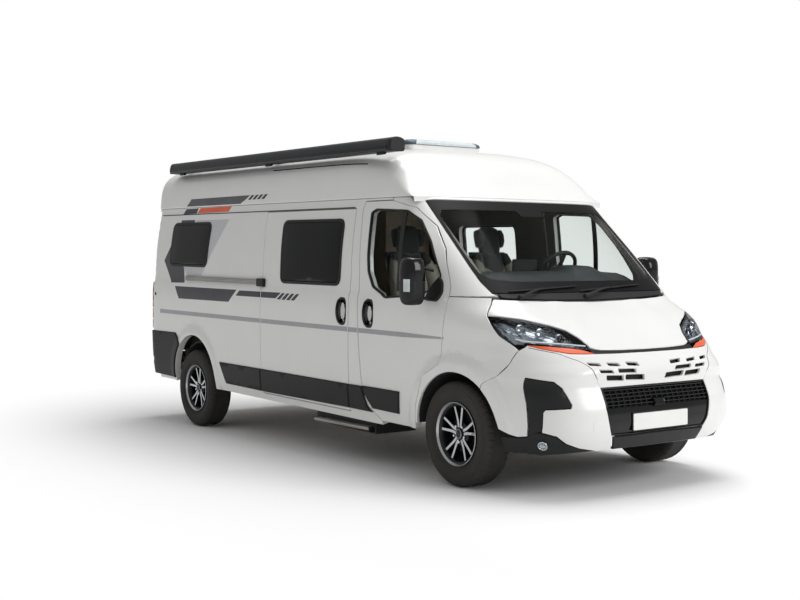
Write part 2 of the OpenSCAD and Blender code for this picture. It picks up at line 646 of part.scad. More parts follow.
module steering_wheel() {
    color("#1d1e20") raked() translate([wheel_x, wheel_y, wheel_z]) rotate([0, -wheel_tilt, 0]) {
        rotate_extrude($fn = 64) translate([wheel_ring, 0]) circle(r = 16);
        translate([0, 0, -hub_depth]) cylinder(r = 75, h = hub_depth + 6);
        for (a = [0, 120, 240]) rotate([0, 0, a + 60]) translate([60, -17, -16]) cube([wheel_ring - 66, 34, 12]);
    }
}
module cab_seats() {
    seat = [[-790, 930], [-770, 1000], [-800, 1060], [-1180, 1035], [-1240, 1120], [-1370, 1620], [-1385, 1795],
            [-1430, 1825], [-1470, 1795], [-1460, 1620], [-1350, 1000], [-1300, 930]];
    color("#4b473f") raked() both_sides() {
        side_prism([for (p = rounded(seat, 18)) p + [axle_f, 0]], wheel_y - 245, wheel_y + 245);
        block([axle_f - 1240, wheel_y - 180, floor_z + seat_gap], [axle_f - 860, wheel_y + 180, 931]);
    }
}

/* ---- Living furniture ---- */
bed_z = 1020;
bed_front = axle_b + 360;
module furniture() {
    color("#b99a72") raked() {
        block([slide_back - 880, -half + 95, floor_z + seat_gap], [slide_back - 60, -half + 560, 1360]);
        block([slide_back - 330, 350, floor_z + seat_gap], [slide_back - 90, half - 170, 2000]);
        block([slide_back + 120, 300, floor_z + seat_gap], [slide_back + 600, half - 110, 950]);
        block([slide_back + 120, 300, 950], [slide_back + 200, half - 110, 1480]);
        block([tail_end + 150, -half + 125, bed_z], [bed_front, half - 125, bed_z + 150]);
        both_sides() block([tail_end + 150, wheel_house_y - 30, floor_z + seat_gap], [bed_front, wheel_house_y - 15 - seat_gap, bed_z]);
    }
}

/* ---- Cab doors ---- */
DOOR_GLASS = [[-1119, 1904], [-1055, 1929], [-662, 1912], [-513, 1839], [-366, 1683], [-207, 1447], [-215, 1380],
              [-400, 1300], [-840, 1263], [-1032, 1338], [-1100, 1450], [-1116, 1573]];
door_glass = rounded([for (p = DOOR_GLASS) p + [axle_f, 0]], 16, 2);
function door_skin(zs) = [for (z = zs) [for (s = spread(0, 1, 8))
    let (x = door_back(z) + (door_front(z) - door_back(z)) * s) [x, skin_y(x, z), z]]];
module cab_door() {
    color("white") raked() difference() {
        intersection() {
            panel(door_skin(door_zs), wall);
            side_prism(door_outline, 0, far);
        }
        side_prism(door_glass, 0, far);
    }
}
module cab_door_glass() {
    middle = [axle_f - 660, 1600];
    color("#2d3337") raked() intersection() {
        panel(lifted(door_skin([1230, 1292, 1368, 1434, 1535, 1635, 1790, 1950]), -10), 5);
        side_prism([for (p = door_glass) toward(p, middle, seat_gap)], 0, far);
    }
}
mirror_x = axle_f - 290;
module door_mirror() {
    color("#1f2022") raked() {
        hull() {
            block([mirror_x - 60, 1065, 1250], [mirror_x + 20, 1235, 1560]);
            block([mirror_x - 20, 1085, 1235], [mirror_x + 70, 1215, 1575]);
            block([mirror_x - 55, 1080, 1240], [mirror_x + 30, 1254, 1480]);
        }
        block([mirror_x - 40, skin_y(mirror_x - 40, 1300) - seat_gap, 1300], [mirror_x + 40, 1070, 1345]);
    }
}
module left_cab_door() {
    cab_door();
}
module right_cab_door() {
    mirror([0, 1, 0]) cab_door();
}
module left_door_glass() {
    cab_door_glass();
}
module right_door_glass() {
    mirror([0, 1, 0]) cab_door_glass();
}
module left_mirror() {
    door_mirror();
}
module right_mirror() {
    mirror([0, 1, 0]) door_mirror();
}

/* ---- Rear doors ---- */
rear_skin = rear_face;
module rear_slab(outline, depth0, depth1) {
    intersection() {
        front_prism(outline, -far, 0);
        side_prism([for (p = rear_skin) p + [depth0, 0], for (i = [len(rear_skin) - 1:-1:0]) rear_skin[i] + [depth1, 0]], -far, far);
    }
}
rear_outline = [[gap, 565], [rear_door_half, 565], [rear_door_half, 1250], [rear_door_half - 40, 1900],
                each rear_door_top, [gap, rear_door_high]];
rear_glass = rounded([[110, 1390], [rear_door_half - 130, 1390], [rear_door_half - 150, 1830], [110, 1830]], 50);
module rear_door() {
    color("white") raked() difference() {
        rear_slab(rear_outline, 0, rear_door_t);
        rear_slab(rect([-1, 0], [gap + 14, far]), 12, rear_door_t + 1);
        front_prism(rear_glass, -far, 0);
    }
}
module rear_door_glass() {
    middle = [rear_door_half / 2, 1600];
    color("#2d3337") raked() rear_slab([for (p = rear_glass) toward(p, middle, seat_gap)], 2, 10);
}
module left_rear_door() {
    rear_door();
}
module right_rear_door() {
    mirror([0, 1, 0]) rear_door();
}
module left_rear_glass() {
    rear_door_glass();
}
module right_rear_glass() {
    mirror([0, 1, 0]) rear_door_glass();
}
module tail_lamps() {
    color("#9c1f1c") raked() both_sides()
        rear_slab(rect([rear_door_half + 14, 800], [half - 24, 1230]), -9, -seat_gap);
}
module rear_bumper() {
    plan = [[tail_end, 0], [tail_end, 780], [tail_end + 22, 890], [tail_end + 70, 965], [tail_end + 172, half - 38],
            [tail_end + 172, inner_w + 5], [floor_back - seat_gap, inner_w + 5], [floor_back - seat_gap, 0]];
    color("#232427") raked() both_sides() translate([0, 0, 345]) linear_extrude(205) polygon(plan);
}

/* ---- Side step ---- */
step_x = slide_front - 190;
step_z = 254;
step_t = 30;
module side_step() {
    color("#b9bcc0") raked()
        block([step_x - step_len / 2, -half + 60, step_z - step_t], [step_x + step_len / 2, -half + 400, step_z]);
}

/* ---- Wheels and knuckles ---- */
module tyre() {
    seat = bead_r + 2 + seat_gap;
    bead = 76 - seat_gap;
    outline = [[seat, -bead], [bead_r + 14, -bead], [bead_r + 45, -tyre_w / 2], [tyre_r - 45, -tyre_w / 2], [tyre_r - 12, -tyre_w / 2 + 12],
               [tyre_r, -tyre_w / 2 + 34], [tyre_r, tyre_w / 2 - 34], [tyre_r - 12, tyre_w / 2 - 12],
               [tyre_r - 45, tyre_w / 2], [bead_r + 45, tyre_w / 2], [bead_r + 14, bead],
               [seat, bead]];
    color("#1b1b1c") rotate([-90, 0, 0]) rotate_extrude($fn = 96) polygon(outline);
}
module rim() {
    barrel = [[bead_r - 12, -84], [bead_r + 12, -84], [bead_r + 2, -76], [bead_r + 2, 76], [bead_r + 12, 84], [bead_r - 12, 84]];
    color("#303236") rotate([-90, 0, 0]) difference() {
        union() {
            rotate_extrude($fn = 96) polygon(barrel);
            translate([0, 0, -8]) cylinder(r = 82, h = 68);
            for (a = [0:72:288]) rotate([0, 0, a]) for (y = [-46, 20]) translate([60, y, 38]) cube([bead_r - 64, 26, 24]);
            translate([0, 0, -32]) cylinder(r = 150, h = 26);
        }
        translate([0, 0, -33]) cylinder(r = stub_r + 0.3, h = 33 + stub_end + 1);
    }
}
module knuckle() {
    color("#4c4e50") translate([axle_f, 0, tyre_r]) {
        translate([0, track / 2 - 36, 0]) rotate([90, 0, 0]) cylinder(r = 55, h = 120);
        translate([0, track / 2 + stub_end, 0]) rotate([90, 0, 0]) cylinder(r = stub_r, h = 100);
        translate([-30, strut_y - 34, -50]) cube([60, kingpin_y - strut_y, strut_low - tyre_r + 50 - seat_gap]);
        translate([0, kingpin_y, arm_z - tyre_r + seat_gap]) cylinder(r = 17, h = 90);
    }
}
module wheel_place(front, left) {
    translate([front ? axle_f : axle_b, 0, tyre_r]) on_side(left) translate([0, track / 2, 0]) children();
}
module left_knuckle() {
    knuckle();
}
module right_knuckle() {
    mirror([0, 1, 0]) knuckle();
}
module front_left_rim() {
    wheel_place(true, true) rim();
}
module front_left_tyre() {
    wheel_place(true, true) tyre();
}
module front_right_rim() {
    wheel_place(true, false) rim();
}
module front_right_tyre() {
    wheel_place(true, false) tyre();
}
module rear_left_rim() {
    wheel_place(false, true) rim();
}
module rear_left_tyre() {
    wheel_place(false, true) tyre();
}
module rear_right_rim() {
    wheel_place(false, false) rim();
}
module rear_right_tyre() {
    wheel_place(false, false) tyre();
}

floor();
wheel_houses();
front_subframe();
rear_axle();
engine();
underbody();
left_side_panel();
right_side_panel();
roof_panel();
roof_brow();
cab_frame();
front_wings();
front_bumper();
grille();
headlights();
cowl();
windscreen();
dashboard();
cab_seats();
furniture();
sliding_door();
side_windows();
side_trim();
rear_bumper();
tail_lamps();
awning();
hatch_frame();
hood();
left_cab_door();
right_cab_door();
left_door_glass();
right_door_glass();
left_mirror();
right_mirror();
left_rear_door();
right_rear_door();
left_rear_glass();
right_rear_glass();
hatch_dome();
side_step();
steering_wheel();
left_knuckle();
right_knuckle();
front_left_rim();
front_right_rim();
rear_left_rim();
rear_right_rim();
front_left_tyre();
front_right_tyre();
rear_left_tyre();
rear_right_tyre();
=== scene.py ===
import math
import bpy
import numpy as np
from mathutils import Matrix, Vector, geometry


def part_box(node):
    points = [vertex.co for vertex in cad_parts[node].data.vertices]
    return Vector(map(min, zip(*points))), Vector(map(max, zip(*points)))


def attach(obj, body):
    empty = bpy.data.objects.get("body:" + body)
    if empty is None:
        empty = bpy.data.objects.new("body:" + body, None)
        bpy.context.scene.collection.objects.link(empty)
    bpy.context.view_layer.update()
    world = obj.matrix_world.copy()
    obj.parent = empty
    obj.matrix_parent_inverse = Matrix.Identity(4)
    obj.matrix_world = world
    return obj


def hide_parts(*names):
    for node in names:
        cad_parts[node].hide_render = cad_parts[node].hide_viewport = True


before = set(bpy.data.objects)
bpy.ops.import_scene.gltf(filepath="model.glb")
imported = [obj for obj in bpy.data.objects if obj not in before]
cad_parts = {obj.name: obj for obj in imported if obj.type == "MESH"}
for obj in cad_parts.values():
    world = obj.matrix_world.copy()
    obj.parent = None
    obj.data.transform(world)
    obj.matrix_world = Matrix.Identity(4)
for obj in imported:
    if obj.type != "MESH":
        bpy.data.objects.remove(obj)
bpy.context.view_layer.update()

# ---- Sizes of the van, in mm, with the body level ----
HALF, NOSE_END, TAIL = 1025, 2996, -2999
AXLE_F, AXLE_B, TYRE_R = 2052, -1983, 364
TAPER, SEAM, ROOF, SILL, ARCH = 801, 2010, 2435, 315, 428
RAKE = math.radians(1.12)
HALF_TRACK, SEAT_Y, HATCH_X = 905, 420, 311
WAIST = (1268, 1294)
SIDES = ((1, "left"), (-1, "right"))


def curve(points):
    """A smooth line through a table of points, without overshoot."""
    xs, ys = zip(*points)
    h = [b - a for a, b in zip(xs, xs[1:])]
    d = [(b - a) / k for a, b, k in zip(ys, ys[1:], h)]
    m = [d[0]] + [0 if a * b <= 0 else 2 * a * b / (a + b) for a, b in zip(d, d[1:])] + [d[-1]]

    def at(x):
        if x <= xs[0]:
            return ys[0]
        if x >= xs[-1]:
            return ys[-1]
        i = next(i for i in range(len(h)) if x <= xs[i + 1])
        t = (x - xs[i]) / h[i]
        return ((1 + 2 * t) * (1 - t) ** 2 * ys[i] + t * (1 - t) ** 2 * h[i] * m[i]
                + t * t * (3 - 2 * t) * ys[i + 1] + t * t * (t - 1) * h[i] * m[i + 1])
    return at


def straight(points):
    """A line of straight runs through a table of points."""
    return lambda x: float(np.interp(x, [p[0] for p in points], [p[1] for p in points]))


# How the nose draws back and the sides lean in with height, and how square the plan of the nose is
nose_in = curve([(260, 95), (330, 55), (420, 18), (500, 0), (560, 2), (620, 12), (690, 40), (750, 66), (790, 60),
                 (840, 50), (900, 85), (955, 137), (1060, 277), (1170, 447), (1265, 635), (1300, 667), (1400, 778.7),
                 (1700, 1113.8), (1900, 1337.1), (2010, 1460)])
inset = curve([(260, 60), (320, 42), (450, 20), (600, 9), (900, 0), (1150, 0), (1272, 8), (1292, 18), (1600, 35),
               (1900, 70), (2010, 88)])
along = curve([(300, 5), (800, 5), (980, 6), (1150, 8.6), (2010, 8.6)])
across = curve([(300, 5), (500, 6), (780, 5.5), (900, 4), (1000, 4), (1150, 5), (1350, 5), (2010, 2.8)])
# How the roof rises behind its brow, and how the rear draws in with height
brow_rise = curve([(0, 0), (75, 0.15), (150, 0.35), (200, 0.49), (285, 0.66), (385, 0.79), (485, 0.87),
                   (735, 0.955), (1035, 0.99), (1500, 1)])
tail_x = curve([(SILL, TAIL + 38), (500, TAIL + 32), (1250, TAIL + 34), (1900, TAIL + 62), (2200, TAIL + 100),
                (2345, TAIL + 140), (2415, TAIL + 205), (2436, TAIL + 290)])
# Edges of the cab door, wing, windscreen, hood and headlight
door_back = straight([(345, 1152), (361, 1122), (440, 991), (616, 906), (1020, 863), (1970, 819), (1985, 847)])
door_front = straight([(345, 1594), (519, 1618), (733, 1702), (833, 1889), (1016, 1909), (1218, 1940), (1368, 1945),
                       (1434, 1915), (1635, 1802), (1790, 1658), (1930, 1451), (1985, 1207)])
wing_front = straight([(345, 2302), (722, 2298), (762, 2378), (829, 2490), (963, 2560), (978, 2566), (1050, 2436),
                       (1121, 2378), (1190, 2304), (1240, 2270), (1295, 2234)])
screen_half = curve([(1300, 815), (1440, 850), (1985, 836)])
hood_low = straight([(0, 968), (250, 970), (420, 976), (474, 992), (502, 1050), (556, 1100), (641, 1131), (799, 1172),
                     (900, 1186), (940, 1196)])
hood_high = straight([(0, 1266), (400, 1272), (700, 1285), (840, 1292), (925, 1205)])
lamp_low = straight([(478, 979), (585, 990), (727, 1003), (850, 1013), (918, 1040)])


def half_w(z):
    """Half width of the body at a height."""
    return HALF - inset(z)


def reach(z):
    """How far the nose reaches ahead of where the sides begin to turn in."""
    return NOSE_END - nose_in(z) - TAPER


# Centre, breadth outside the arch, and height of the swell round each arch, and how far its edge takes to rise
SWELLS, SWELL_EDGE = ((AXLE_F + 1, 132, 21), (AXLE_B + 1, 96, 15)), 62


def flare(x, z):
    """How far the skin swells round the wheel arches."""
    out = 0
    for cx, wide, high in SWELLS:
        t = (ARCH + wide - math.hypot(x - cx, z - TYRE_R)) / SWELL_EDGE
        t = max(0, min(1, t))
        out += high * t * t * (3 - 2 * t)
    return out


# Edges of the swell, so that the panels' meshes follow it
swell_lines = [[(cx + r * math.cos(t), TYRE_R + r * math.sin(t)) for t in np.linspace(-.1, math.pi + .1, 40)]
               for cx, wide, _ in SWELLS for r in (ARCH + wide, ARCH + wide - SWELL_EDGE / 2, ARCH + wide - SWELL_EDGE)]


def skin_x(y, z):
    """How far forward the nose is at a width and a height."""
    return TAPER + reach(z) * max(0, 1 - (abs(y) / half_w(z)) ** across(z)) ** (1 / along(z))


def skin_y(x, z):
    """Half width of the body at a distance along it and a height."""
    return half_w(z) * max(0, 1 - (max(0, x - TAPER) / reach(z)) ** along(z)) ** (1 / across(z))


# The front is unrolled: distance round the nose from its middle, at one height
TURNS = np.linspace(0, 90, 181)


def turned(a, z):
    """A point of the nose, by its angle round the plan and its height."""
    r = math.radians(abs(a))
    x = TAPER + reach(z) * max(0, math.cos(r)) ** (2 / along(z))
    y = half_w(z) * math.sin(r) ** (2 / across(z))
    return x, math.copysign(y + (flare(x, z) if y > 700 else 0), a), z


_walk = [turned(a, 600) for a in TURNS]
ARCS = np.concatenate([[0], np.cumsum([math.dist(a, b) for a, b in zip(_walk, _walk[1:])])])


def unrolled(a):
    """The distance round the nose at an angle."""
    return math.copysign(float(np.interp(abs(a), TURNS, ARCS)), a)


def at_y(y, z):
    """A point in front view, unrolled."""
    return unrolled(math.copysign(math.degrees(math.asin(min(1, (abs(y) / half_w(z)) ** (across(z) / 2)))), y)), z


def at_x(x, z, side=1):
    """A point in side view, unrolled."""
    return unrolled(side * math.degrees(math.acos(min(1, (max(0, x - TAPER) / reach(z)) ** (along(z) / 2))))), z


def nose(w, z):
    """The nose: distance round from its middle, and height."""
    return turned(math.copysign(float(np.interp(abs(w), ARCS, TURNS)), w), z)


# Radius of the bend from side to rear
CORNER = 70


def flank(x, z):
    """The side wall, wrapped round the rear corner."""
    tail, y = tail_x(z), skin_y(x, z) + flare(x, z)
    d = tail + CORNER - x
    if d <= 0:
        return x, y, z
    a = min(d / CORNER, math.pi / 2)
    return (tail + CORNER * (1 - math.sin(a)), y - CORNER * (1 - math.cos(a)) - max(0, d - CORNER * math.pi / 2), z)


ROOF_HALF = half_w(SEAM)
BROW_X = NOSE_END - 1460 - 12
_walk = [(ROOF_HALF * math.cos(math.radians(a)) ** .5 if a < 90 else 0, (ROOF - SEAM) * math.sin(math.radians(a)) ** .5)
         for a in TURNS]
ROOF_ARCS = np.concatenate([[0], np.cumsum([math.dist(a, b) for a, b in zip(_walk, _walk[1:])])])
ROOF_EDGE = float(ROOF_ARCS[-1])


def over_roof(d, w):
    """The roof: distance behind the front edge of its brow, and distance from the centre line round to the left."""
    a = math.radians(float(np.interp(ROOF_EDGE - abs(w), ROOF_ARCS, TURNS)))
    y = math.copysign(ROOF_HALF * max(0, math.cos(a)) ** .5, w)
    rise = max(6, brow_rise(d) * (ROOF - SEAM))
    return BROW_X - d - 75 * (y / ROOF_HALF) ** 2 * max(0, 1 - d / 1500), y, SEAM + rise * math.sin(a) ** .5


def rear(y, z):
    """The rear: distance from its middle, and height."""
    return tail_x(z) + 10 * (abs(y) / 890) ** 3, y, z


# A skin is the function that places its points, and the side of its surface that faces out
FLANK, NOSE, OVER, REAR = (flank, -1), (nose, 1), (over_roof, -1), (rear, -1)


def row(p):
    """A point of the level body, in mm, in the frame's metres."""
    x, y, z = p
    c, s = math.cos(RAKE), math.sin(RAKE)
    return ((AXLE_F + c * (x - AXLE_F) + s * (z - TYRE_R)) / 1000, y / 1000,
            (TYRE_R - s * (x - AXLE_F) + c * (z - TYRE_R)) / 1000)


def plain(p):
    """A point of the wheels or the step, which stand level, in the frame's metres."""
    return p[0] / 1000, p[1] / 1000, p[2] / 1000


# ---- Building meshes ----
def bent(v, power):
    """A sine or cosine raised to a power, its sign kept: below 1 it squares an oval."""
    return math.copysign(abs(v) ** power, v)


def turn(n):
    """The angles of n points round a circle."""
    return [2 * math.pi * i / n for i in range(n)]


def ellipse(rx, ry, n):
    """Points of an ellipse."""
    return [(rx * math.cos(t), ry * math.sin(t)) for t in np.linspace(0, 2 * math.pi, n + 1)[:-1]]


def piece(name, points, faces, mats, body, slot, inner=(), place=row, replaces=(), sharp=38, flip=False, weigh=True):
    """A mesh from points in mm, on a body. inner gives the faces that take another of the materials."""
    mesh = bpy.data.meshes.new(name)
    if flip:
        faces = [tuple(reversed(f)) for f in faces]
    mesh.from_pydata([place(p) for p in points], [], faces)
    for m in mats:
        mesh.materials.append(m)
    for i, k in dict(inner).items():
        mesh.polygons[i].material_index = k
    mesh.polygons.foreach_set("use_smooth", [True] * len(mesh.polygons))
    mesh.set_sharp_from_angle(angle=math.radians(sharp))
    mesh.update()
    thing = bpy.data.objects.new(name, mesh)
    bpy.context.scene.collection.objects.link(thing)
    if weigh:
        thing.modifiers.new("even_shading", "WEIGHTED_NORMAL").keep_sharp = True
    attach(thing, body)
    if replaces:
        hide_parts(*replaces)
    return thing


def trace(outline, step):
    """A closed outline with points no further apart than a step."""
    out = []
    for a, b in zip(outline, list(outline[1:]) + [outline[0]]):
        n = max(1, math.ceil(math.dist(a, b) / step))
        out += [(a[0] + (b[0] - a[0]) * i / n, a[1] + (b[1] - a[1]) * i / n) for i in range(n)]
    return out


def area(p):
    """Area of an outline, positive when it runs anticlockwise."""
    return sum(a[0] * b[1] - b[0] * a[1] for a, b in zip(p, p[1:] + p[:1])) / 2


def moved_in(ring, d):
    """A ring with each point moved to its left."""
    out = []
    n = len(ring)
    for i in range(n):
        ax, ay = ring[i - 1]
        bx, by = ring[i]
        cx, cy = ring[(i + 1) % n]
        u = Vector((ay - by, bx - ax)).normalized()
        v = Vector((by - cy, cx - bx)).normalized()
        k = (u + v) / max(0.35, 1 + u.dot(v))
        out.append((bx + d * k[0], by + d * k[1]))
    return out


def inside(ring, px, py):
    """Which of many points lie inside a ring."""
    hit = np.zeros(len(px), bool)
    for (ax, ay), (bx, by) in zip(ring, ring[1:] + ring[:1]):
        if ay != by:
            hit ^= ((ay > py) != (by > py)) & (px < (bx - ax) * (py - ay) / (by - ay) + ax)
    return hit


def rounded(outline, r, n=4):
    """An outline with its corners cut back by r and rounded."""
    out = []
    for i, c in enumerate(outline):
        a, b = Vector(outline[i - 1]), Vector(outline[(i + 1) % len(outline)])
        c = Vector(c)
        p, q = c + (a - c).normalized() * r, c + (b - c).normalized() * r
        out += [tuple((1 - t) ** 2 * p + 2 * t * (1 - t) * c + t * t * q) for t in (k / n for k in range(n + 1))]
    return out


def squared(rx, ry, px, py, n):
    """Points of an oval that is squarer the lower its powers are."""
    return [(rx * bent(math.cos(t), px), ry * bent(math.sin(t), py)) for t in turn(n)]


def mirrored(half):
    """A whole outline from its left half, which starts and ends on the centre line."""
    return half + [(-w, z) for w, z in reversed(half[1:-1])]


def box(x0, z0, x1, z1):
    """An oblong outline."""
    return [(x0, z0), (x1, z0), (x1, z1), (x0, z1)]


def sheet(name, skin, outline, mats, body, slot, t, holes=(), step=45, rim=2.5, lift=0, side=1, marks=(), lines=(),
          replaces=(), swell=None, sharp=38):
    """A panel cut from a skin, with rounded edges and a back. marks are (outline, material) on its face."""
    place, out = skin
    rings = []
    for i, ring in enumerate([outline, *holes]):
        ring = trace(ring, step * .6)
        if (area(ring) > 0) != (i == 0):
            ring.reverse()
        rings.append(ring)
    tops = [moved_in(r, rim) for r in rings]
    flat = [p for r in tops for p in r]
    edges, start = [], 0
    for r in tops:
        edges += [(start + i, start + (i + 1) % len(r)) for i in range(len(r))]
        start += len(r)
    lo, hi = np.min(flat, 0), np.max(flat, 0)
    gx, gy = np.meshgrid(np.arange(lo[0], hi[0], step), np.arange(lo[1], hi[1], step * .87))
    gx = gx + (np.arange(gx.shape[0]) % 2)[:, None] * step / 2
    gx, gy = gx.ravel(), gy.ravel()
    keep = np.zeros(len(gx), bool)
    for r in tops:
        keep ^= inside(r, gx, gy)
    near = np.array(flat)
    extra = [(trace(m, step * .8), True) for m, _ in marks] + [(m, False) for m in lines]
    for m, _ in extra:
        near = np.vstack([near, np.array(m)])
    gx, gy = gx[keep], gy[keep]
    if len(gx):
        clear = np.array([np.min((near[:, 0] - x) ** 2 + (near[:, 1] - y) ** 2) > (step * .42) ** 2
                          for x, y in zip(gx, gy)])
        gx, gy = gx[clear], gy[clear]
    points = flat + list(zip(gx.tolist(), gy.tolist()))
    for m, closed in extra:
        k = len(points)
        points += m
        edges += [(k + i, k + (i + 1) % len(m)) for i in range(len(m) - (0 if closed else 1))]
    v2, _, tris, origin, _, _ = geometry.delaunay_2d_cdt([Vector(p) for p in points], edges, [], 0, 1e-4)
    where = {}
    for i, from_points in enumerate(origin):
        for j in from_points:
            where[j] = i
    tris = [f for f in tris if len(f) == 3]
    cx = np.array([sum(v2[i][0] for i in f) / 3 for f in tris])
    cy = np.array([sum(v2[i][1] for i in f) / 3 for f in tris])
    keep = np.zeros(len(tris), bool)
    for r in tops:
        keep ^= inside(r, cx, cy)
    which = np.zeros(len(tris), int)
    mats = list(mats)
    for m, mat in marks:
        if mat not in mats:
            mats.append(mat)
        which[inside(m, cx, cy)] = mats.index(mat)
    which = which[keep]
    tris = [f for f, k in zip(tris, keep) if k]
    used = sorted({i for f in tris for i in f} | {where[j] for j in range(len(flat))})
    index = {i: k for k, i in enumerate(used)}

    def solid(u, v, depth):
        """A point of the skin, moved in by a depth."""
        p = Vector(place(u, v))
        n = (Vector(place(u + .5, v)) - Vector(place(u - .5, v))).cross(
            Vector(place(u, v + .5)) - Vector(place(u, v - .5)))
        n = n.normalized() if n.length > 1e-9 else Vector((0, 0, 1))
        q = p + n * out * (lift - depth + (swell(u, v) if swell and depth < t / 2 + rim else 0))
        return q[0], q[1] * side, q[2]

    n = len(used)
    verts = [solid(v2[i][0], v2[i][1], 0) for i in used] + [solid(v2[i][0], v2[i][1], t) for i in used]
    faces = [tuple(index[i] for i in f) for f in tris]
    inner = {i: int(k) for i, k in enumerate(which) if k}
    for f in tris:
        if len(mats) > 1 and mats[1] is not None:
            inner[len(faces)] = 1
        faces.append(tuple(n + index[i] for i in reversed(f)))
    start = 0
    for r in rings:
        m = len(r)
        levels = [[index[where[start + i]] for i in range(m)]]
        for share in (.3, 1):
            k = len(verts)
            ring = moved_in(r, rim * (1 - share)) if share < 1 else r
            verts += [solid(u, v, rim * share) for u, v in ring]
            levels.append(list(range(k, k + m)))
        k = len(verts)
        verts += [solid(u, v, t) for u, v in r]
        levels.append(list(range(k, k + m)))
        levels.append([n + j for j in levels[0]])
        for a, b in zip(levels, levels[1:]):
            for i in range(m):
                j = (i + 1) % m
                faces.append((a[i], b[i], b[j], a[j]))
        start += m
    return piece(name, verts, faces, mats, body, slot, inner, replaces=replaces, flip=(out * side < 0), sharp=sharp)


def pair(name, *a, body="body", **k):
    """The same sheet on the left and on the right, with SIDE in its body and replaces standing for the word."""
    for side, word in SIDES:
        sheet(f"{word}_{name}", *a, body=body.replace("SIDE", word), side=side,
              **{x: (tuple(s.replace("SIDE", word) for s in y) if x == "replaces" else y) for x, y in k.items()})


def loft(name, rings, mats, body, slot, caps=True, place=row, smooth=0, weigh=True, **k):
    """A skin through rings of as many points each."""
    m = len(rings[0])
    verts = [p for r in rings for p in r]
    faces = []
    for i in range(len(rings) - 1):
        for j in range(m):
            a, b = i * m + j, i * m + (j + 1) % m
            faces.append((a, b, b + m, a + m))
    if caps:
        faces.append(tuple(reversed(range(m))))
        faces.append(tuple(range(len(verts) - m, len(verts))))
    thing = piece(name, verts, faces, mats, body, slot, place=place, weigh=weigh and not smooth, **k)
    if smooth:
        sub = thing.modifiers.new("round", "SUBSURF")
        sub.levels = sub.render_levels = smooth
    return thing


def sweep(name, path, section, mats, body, slot, up=(0, 0, 1), scale=None, **k):
    """A section of (across, up) points carried along a path."""
    rings = []
    for i, p in enumerate(path):
        p = Vector(p)
        d = (Vector(path[min(i + 1, len(path) - 1)]) - Vector(path[max(i - 1, 0)])).normalized()
        s = d.cross(Vector(up)).normalized()
        u = s.cross(d)
        f = 1 if scale is None else scale[i]
        rings.append([tuple(p + s * a * f + u * b * f) for a, b in section])
    if area(list(section)) < 0:
        rings = [list(reversed(r)) for r in rings]
    return loft(name, rings, mats, body, slot, **k)


def lathe(name, profile, centre, axis, mats, body, slot, n=48, place=row, closed=False, caps=None, **k):
    """A profile of (radius, distance along the axis) turned round an axis."""
    axis = Vector(axis).normalized()
    u = axis.orthogonal().normalized()
    v = axis.cross(u)
    c = Vector(centre)
    rings = [[tuple(c + axis * h + (u * math.cos(a) + v * math.sin(a)) * r) for a in turn(n)] for r, h in profile]
    if closed:
        rings.append(rings[0])
    return loft(name, rings, mats, body, slot, caps=not closed if caps is None else caps, place=place, **k)


# ---- Materials ----
def linear(code):
    """An sRGB hex colour as linear RGBA."""
    parts = [int(code[i:i + 2], 16) / 255 for i in (1, 3, 5)]
    return tuple(c / 12.92 if c <= .04045 else ((c + .055) / 1.055) ** 2.4 for c in parts) + (1,)


def add(tree, kind, links=(), **settings):
    """Adds a node, sets its sockets and properties, and links (socket, source node, source socket)."""
    node = tree.nodes.new(kind)
    for key, value in settings.items():
        if hasattr(node, key):
            setattr(node, key, value)
        else:
            node.inputs[key.replace("_", " ")].default_value = value
    for socket, source, output in links:
        tree.links.new(source.outputs[output], node.inputs[socket])
    return node


def finish(name, dark, light, rough, size, bump=0.0, metal=0.0, coat=0.0, spread=0.06, stretch=(1, 1, 1), sheen=0.0,
           gleam=.5, veil=.03):
    """A surface whose colour runs between two near tones and whose gloss and relief follow a grain of a size in mm."""
    mat = bpy.data.materials.new(name)
    mat.use_nodes = True
    tree = mat.node_tree
    tree.nodes.clear()
    out = add(tree, "ShaderNodeOutputMaterial")
    shader = add(tree, "ShaderNodeBsdfPrincipled", Metallic=metal, Coat_Weight=coat, Coat_Roughness=veil,
                 Sheen_Weight=sheen, Specular_IOR_Level=gleam)
    place = add(tree, "ShaderNodeTexCoord")
    scaled = add(tree, "ShaderNodeMapping", [("Vector", place, "Object")],
                 Scale=tuple(1000 / size * s for s in stretch))
    grain = add(tree, "ShaderNodeTexNoise", [("Vector", scaled, "Vector")], Scale=1.0, Detail=3.0, Roughness=.55)
    cloud = add(tree, "ShaderNodeTexNoise", [("Vector", place, "Object")], Scale=3.0, Detail=2.0)
    tone = add(tree, "ShaderNodeMix", [("A", cloud, "Fac")], data_type="FLOAT")
    tone.inputs["Factor"].default_value = .5
    tree.links.new(grain.outputs["Fac"], tone.inputs["B"])
    ramp = add(tree, "ShaderNodeValToRGB", [("Fac", tone, "Result")])
    ramp.color_ramp.elements[0].position, ramp.color_ramp.elements[1].position = .35, .65
    ramp.color_ramp.elements[0].color, ramp.color_ramp.elements[1].color = linear(dark), linear(light)
    tree.links.new(ramp.outputs["Color"], shader.inputs["Base Color"])
    gloss = add(tree, "ShaderNodeMapRange", [("Value", grain, "Fac")], To_Min=max(0, rough - spread),
                To_Max=min(1, rough + spread))
    tree.links.new(gloss.outputs["Result"], shader.inputs["Roughness"])
    if bump:
        relief = add(tree, "ShaderNodeBump", [("Height", grain, "Fac")], Strength=min(1, bump * 3),
                     Distance=bump / 1000)
        tree.links.new(relief.outputs["Normal"], shader.inputs["Normal"])
    tree.links.new(shader.outputs["BSDF"], out.inputs["Surface"])
    return mat


